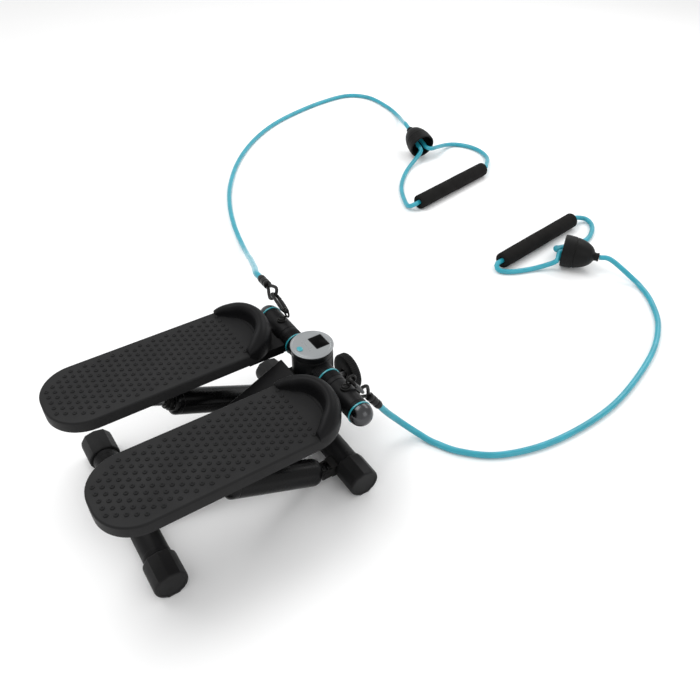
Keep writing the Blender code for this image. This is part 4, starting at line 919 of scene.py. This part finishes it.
def inside_tread(x, y, margin):
    """Whether a point, measured from the pedal's middle line, lies on the flat of the tread."""
    half = PEDAL_HALF_WIDTH - margin
    heel = PEDAL_TOE_Y - PEDAL_LENGTH + margin
    corner = HEEL_CORNER_R - margin
    if abs(x) > half or y < heel:
        return False
    if y < heel + corner and abs(x) > half - corner:
        return math.hypot(abs(x) - (half - corner), y - heel - corner) < corner
    return True


def tread(side):
    """Moulded tread: rolled edge, skirt, rows of small dished studs, ribs underneath."""
    prefix = SIDE_NAMES[side]
    bottom = PEDAL_TOP - PEDAL_SKIRT
    levels = [(0.0042, PEDAL_TOP - 0.005), (0.0040, bottom + 0.0006), (0.0034, bottom), (0.0006, bottom),
              (0.0000, bottom + 0.0006), (0.0, PEDAL_TOP - 0.0030), (0.0002, PEDAL_TOP - 0.0018),
              (0.0009, PEDAL_TOP - 0.0008), (0.0020, PEDAL_TOP - 0.00015), (0.0032, PEDAL_TOP)]
    bm = bmesh.new()
    rings = [[bm.verts.new((x, y, z)) for x, y in tread_outline(side, inset)] for inset, z in levels]
    close(bm, rings)
    cx = side * PEDAL_X
    for x in (-0.040, 0.040):
        add_box(bm, (cx + x - 0.0011, -0.165, bottom + 0.003), (cx + x + 0.0011, 0.060, PEDAL_TOP - 0.004))
    for i in range(8):
        y = -0.160 + 0.030 * i
        for x in (-0.0575, 0.0155):
            add_box(bm, (cx + x, y - 0.001, bottom + 0.005), (cx + x + 0.042, y + 0.001, PEDAL_TOP - 0.004))
    keep(prefix + "_tread", bm, "pedal_plastic", prefix + "_pedal", (prefix + "_pedal_tread",), 35)
    bm = bmesh.new()
    stud = [(0.0, 0.00035), (0.0011, 0.00045), (0.0016, 0.00125), (0.0021, 0.00150), (0.0026, 0.00125),
            (0.0031, 0.00040), (0.0032, -0.0006), (0.0, -0.0006)]
    row = 0
    y = PEDAL_TOE_Y - PEDAL_LENGTH + 0.0130
    while y < STUD_END_Y:
        shift = 0.5 * (row % 2)
        for k in range(-5, 6):
            x = (k + shift) * STUD_PITCH_X
            limit = STUD_END_Y - 0.010 + 0.024 * math.sqrt(max(0.0, 1 - (x / 0.062) ** 2))
            if abs(x) < 0.0525 and y < limit and inside_tread(x, y, 0.0095):
                add_lathe(bm, stud, (cx + x, y, PEDAL_TOP), (0, 0, 1), 14)
        row += 1
        y += STUD_PITCH_Y
    keep(prefix + "_studs", bm, "pedal_plastic", prefix + "_pedal", (), 60)


def toe_wall(side):
    """Raised rubber wall round the toe: thick rolled rim, bulging outside that laps the skirt."""
    prefix = SIDE_NAMES[side]
    cx = side * PEDAL_X
    base = PEDAL_TOP
    steps = 72
    bm = bmesh.new()
    rings = []
    for i in range(steps + 1):
        share = i / steps
        a = math.pi * share
        full = math.sin(math.pi * (0.02 + 0.96 * share))
        rise = max(TOE_CUP_HEIGHT * full ** 0.50, 0.0035)
        lap = 0.0155 * min(1.0, full / 0.25)
        swell = 0.0016 * min(1.0, full / 0.5)
        wall = TOE_WALL * (0.50 + 0.50 * min(1.0, full / 0.45))
        out = Vector((math.cos(a), math.sin(a) * 0.95, 0.0)).normalized()
        edge = Vector((cx + PEDAL_HALF_WIDTH * math.cos(a),
                       PEDAL_TOE_Y - TOE_DEPTH + TOE_DEPTH * math.sin(a), base))
        section = [(0.0010, -lap), (-0.3 * swell, -lap * 0.98), (-0.8 * swell, -lap * 0.80),
                   (-swell, -lap * 0.35), (-swell, rise * 0.10), (-0.7 * swell, rise * 0.34),
                   (0.05 * wall, rise * 0.56),
                   (0.15 * wall, rise * 0.75), (0.30 * wall, rise * 0.90), (0.48 * wall, rise * 0.985),
                   (0.64 * wall, rise * 1.0), (0.78 * wall, rise * 0.955), (0.88 * wall, rise * 0.83),
                   (0.94 * wall, rise * 0.60), (0.96 * wall, rise * 0.30), (0.99 * wall, rise * 0.08),
                   (1.03 * wall, -0.0004), (0.5 * wall, -0.0030)]
        rings.append([bm.verts.new(edge - out * inward + Vector((0.0, 0.0, z))) for inward, z in section])
    close(bm, rings)
    made = keep(prefix + "_toe_wall", bm, "toe_rubber", prefix + "_pedal", (prefix + "_toe_cup",), 70)
    bevel = made.modifiers.new("ends", "BEVEL")
    bevel.width = 0.0009
    bevel.segments = 3
    bevel.limit_method = "ANGLE"
    bevel.angle_limit = math.radians(60)
    bevel.use_clamp_overlap = True
    seam(side)


def seam(side):
    """The fine raised line where the toe insert meets the tread."""
    prefix = SIDE_NAMES[side]
    cx = side * PEDAL_X
    points = []
    for i in range(49):
        a = math.pi * (0.03 + 0.94 * i / 48)
        y = PEDAL_TOE_Y - TOE_DEPTH + 0.002 + (TOE_DEPTH - 0.0290) * math.sin(a)
        points.append(Vector((cx + (PEDAL_HALF_WIDTH - 0.0130) * math.cos(a), y, PEDAL_TOP)))
    bm = bmesh.new()
    sweep(bm, points, 0.00045, False, Vector((0, 0, 1)), 10)
    keep(prefix + "_toe_seam", bm, "toe_rubber", prefix + "_pedal", (), 60)


def sleeve(side):
    """Ribbed sleeve that turns on the bar, with the horn that meets the rocker."""
    prefix = SIDE_NAMES[side]

    def ribbed(outer, width):
        profile = [(outer - 0.0008, 0.0), (outer - 0.0004, 0.0004)]
        for i in range(7):
            at = 0.0012 + 0.0016 * i
            profile += [(outer, at), (outer, at + 0.0007), (outer - 0.0006, at + 0.0009),
                        (outer - 0.0006, at + 0.0014)]
        return profile + [(outer, 0.0130), (outer, width - 0.0006), (outer - 0.0006, width)]

    ring_piece(prefix + "_sleeve_round", *SLEEVE_X, BAR_R, SLEEVE_BORE, "frame_paint", prefix + "_pedal",
               prefix + "_pivot_sleeve", side, 0.0002, ribbed)
    low, high = sorted((side * (SLEEVE_X[0] + 0.001), side * (SLEEVE_X[1] - 0.001)))
    outline = [(BAR_Y + 0.0110, BAR_Z - 0.004), (BAR_Y + 0.0110, BAR_Z - 0.0128), (0.1735, HORN_BOTTOM),
               (0.1875, HORN_BOTTOM), (0.1875, HORN_BOTTOM + 0.008), (BAR_Y + 0.0160, BAR_Z - 0.002)]
    bm = bmesh.new()
    near = [bm.verts.new((low, y, z)) for y, z in outline]
    far = [bm.verts.new((high, y, z)) for y, z in outline]
    bm.faces.new(near)
    bm.faces.new(far[::-1])
    for i in range(len(outline)):
        j = (i + 1) % len(outline)
        bm.faces.new((near[i], near[j], far[j], far[i]))
    bmesh.ops.recalc_face_normals(bm, faces=bm.faces)
    bmesh.ops.bevel(bm, geom=bm.edges[:], offset=0.0010, segments=3, affect="EDGES", profile=0.5)
    keep(prefix + "_horn", bm, "frame_paint", prefix + "_pedal", (), 30)


# ---- dampers -----------------------------------------------------------------------------------
def damper(side):
    """Cylinder with its front eye, knurled gland nut, and rod with its rear eye."""
    prefix = SIDE_NAMES[side]
    offset = Vector((side * DAMPER_X, 0, 0))
    front, rear = DAMPER_FRONT + offset, DAMPER_REAR + offset
    along = (rear - front).normalized()
    reach = (rear - front).length
    r = DAMPER_R
    profile = [(0, 0.0105), (0.0070, 0.0105), (0.0094, 0.0108), (0.0140, 0.0116), (0.0172, 0.0130),
               (0.0192, 0.0152), (r - 0.0004, 0.0182), (r, 0.0215), (r, 0.1520), (r - 0.0003, 0.1526),
               (r - 0.0003, 0.1536),
               (r, 0.1542), (r, 0.1602), (r - 0.0008, 0.1630), (r - 0.0030, 0.1650), (r - 0.0056, 0.1658),
               (0.0125, 0.1658), (0.0100, 0.1650), (0, 0.1650)]
    bm = bmesh.new()
    add_lathe(bm, rounded(profile, 0.0006), front, along, 96)
    neck = [(0, -0.002), (0.0064, -0.002), (0.0064, 0.0120), (0, 0.0120)]
    add_lathe(bm, rounded(neck, 0.0006), front, along, 48)
    ring = [(0.0044, 0), (0.0080, 0), (0.0088, 0.0008), (0.0088, 0.0132), (0.0080, 0.0140), (0.0044, 0.0140)]
    add_lathe(bm, ring, front - Vector((0.0070, 0, 0)), (1, 0, 0), 48)
    keep(prefix + "_damper_shell", bm, "damper_black", prefix + "_damper", (prefix + "_damper_cylinder",), 28)
    nut = NUT_AT
    profile = [(ROD_R + 0.0003, nut), (0.0125, nut), (0.0132, nut + 0.0008), (0.0132, nut + 0.0052),
               (0.0126, nut + 0.0058), (0.0106, nut + 0.0058), (0.0104, nut + 0.0062), (0.0104, nut + 0.0104),
               (0.0094, nut + 0.0118), (0.0078, nut + 0.0120), (0.0072, nut + 0.0114),
               (ROD_R + 0.0003, nut + 0.0114)]

    def knurl(index, radius, at, angle):
        return -0.0005 * (0.5 + 0.5 * math.cos(32 * angle)) if radius > 0.0131 else 0.0

    bm = bmesh.new()
    add_lathe(bm, rounded(profile, 0.0003), front, along, 192, knurl)
    keep(prefix + "_gland", bm, "hardware_black", prefix + "_damper", (prefix + "_gland_nut",), 30)
    bm = bmesh.new()
    rod_end = reach - 0.010
    profile = [(0, 0.075), (ROD_R, 0.0755), (ROD_R, rod_end - 0.012), (ROD_R + 0.0014, rod_end - 0.0112),
               (ROD_R + 0.0014, rod_end - 0.002), (0, rod_end)]
    add_lathe(bm, profile, front, along, 64)
    centre = rear + Vector((0.0, -0.00025, -0.0008))
    ring = [(0.0060, 0), (0.0090, 0), (0.0096, 0.0007), (0.0096, 0.0103), (0.0090, 0.0110), (0.0060, 0.0110)]
    add_lathe(bm, ring, centre - Vector((0.0055, 0, 0)), (1, 0, 0), 56)
    keep(prefix + "_rod", bm, "steel", prefix + "_rod", (prefix + "_damper_rod",), 28)


# ---- adjuster ----------------------------------------------------------------------------------
def knob():
    """Ribbed hand wheel with a dished front and a centre boss."""
    depth = KNOB_Y[1] - KNOB_Y[0]
    r = KNOB_R
    profile = [(0, 0.004), (0.0080, 0.004), (0.0080, 0.0), (r - 0.008, 0.0), (r - 0.0024, 0.0004),
               (r - 0.0008, 0.0014), (r, 0.0028), (r, depth - 0.0040), (r - 0.0008, depth - 0.0022),
               (r - 0.0024, depth - 0.0010), (r - 0.0052, depth - 0.0004), (r - 0.0072, depth - 0.0012),
               (r - 0.0100, depth - 0.0026), (0.0120, depth - 0.0026), (0.0100, depth - 0.0016),
               (0.0088, depth - 0.0004), (0.0070, depth), (0, depth)]

    def ribs(index, radius, along, angle):
        if radius < r - 0.0016:
            return 0.0
        return -0.0010 * (0.5 - 0.5 * math.cos(60 * angle))

    bm = bmesh.new()
    add_lathe(bm, rounded(profile, 0.0006), (0, KNOB_Y[0], KNOB_Z), (0, 1, 0), 480, ribs)
    keep("hand_wheel", bm, "stopper_rubber", "knob", ("adjuster_knob",), 40)


# ---- carried-over pieces -----------------------------------------------------------------------
def carry(node, slot):
    """A frame node that stays as it is and takes the scene's finish."""
    item = frame["nodes"][node]
    for held in item.material_slots:
        held.material = MATERIALS[slot]


def stage_floor():
    """Pale floor under everything."""
    bm = bmesh.new()
    size = FLOOR_HALF
    corners = ((-size, -size), (size, -size), (size, size), (-size, size))
    bm.faces.new([bm.verts.new((x, y, 0.0)) for x, y in corners])
    mesh = bpy.data.meshes.new("floor")
    bm.to_mesh(mesh)
    bm.free()
    made = bpy.data.objects.new("floor", mesh)
    bpy.context.scene.collection.objects.link(made)
    mesh.materials.append(MATERIALS["floor_paper"])


def area_light(name, place, target, size, power, colour=(1.0, 1.0, 1.0)):
    data = bpy.data.lights.new(name, "AREA")
    data.shape = "RECTANGLE"
    data.size, data.size_y = size
    data.energy = power
    data.color = colour
    made = bpy.data.objects.new(name, data)
    made.location = place
    made.rotation_euler = (Vector(target) - Vector(place)).to_track_quat("-Z", "Y").to_euler()
    bpy.context.scene.collection.objects.link(made)


def lights():
    """Even white surroundings and three soft panels."""
    world = bpy.data.worlds.new("studio")
    world.use_nodes = True
    world.node_tree.nodes["Background"].inputs["Color"].default_value = (1.0, 1.0, 1.0, 1.0)
    world.node_tree.nodes["Background"].inputs["Strength"].default_value = WORLD_LIGHT
    bpy.context.scene.world = world
    area_light("key", (-0.9, -0.3, 2.2), (0.0, 0.1, 0.1), (1.6, 1.2), 24.0)
    area_light("rim", (-0.6, 2.0, 1.5), (-0.1, 0.2, 0.1), (1.8, 0.9), 13.0)
    area_light("fill", (1.8, 0.6, 1.2), (0.0, 0.1, 0.1), (1.2, 1.2), 6.0)


def main():
    bpy.context.scene.view_settings.view_transform = "Standard"
    make_camera()
    make_materials()
    for side in (LEFT, RIGHT):
        pull_band(side)
    for where, y in (("front", FRONT_Y), ("rear", REAR_Y)):
        base_tube(f"{where}_base_tube", y)
        for side in (LEFT, RIGHT):
            foot_cap(side, where, y)
    soften("front_post", "frame_paint", 0.0016)
    soften("central_beam", "frame_paint", 0.0016)
    hub()
    console()
    knob()
    soften("rocker_lever", "hardware_black", 0.0010)
    soften("step_sensor", "housing_plastic", 0.0006)
    for node in ("cross_axle", "adjuster_spindle", "sensor_magnet"):
        carry(node, "steel")
    for side in (LEFT, RIGHT):
        prefix = SIDE_NAMES[side]
        bar_side(side)
        eye(side)
        tread(side)
        toe_wall(side)
        sleeve(side)
        damper(side)
        soften(prefix + "_pedal_arm", "frame_paint", 0.0014)
        soften(prefix + "_front_clevis", "hardware_black", 0.0006)
        soften(prefix + "_rear_clevis", "hardware_black", 0.0006)
    stage_floor()
    lights()


main()
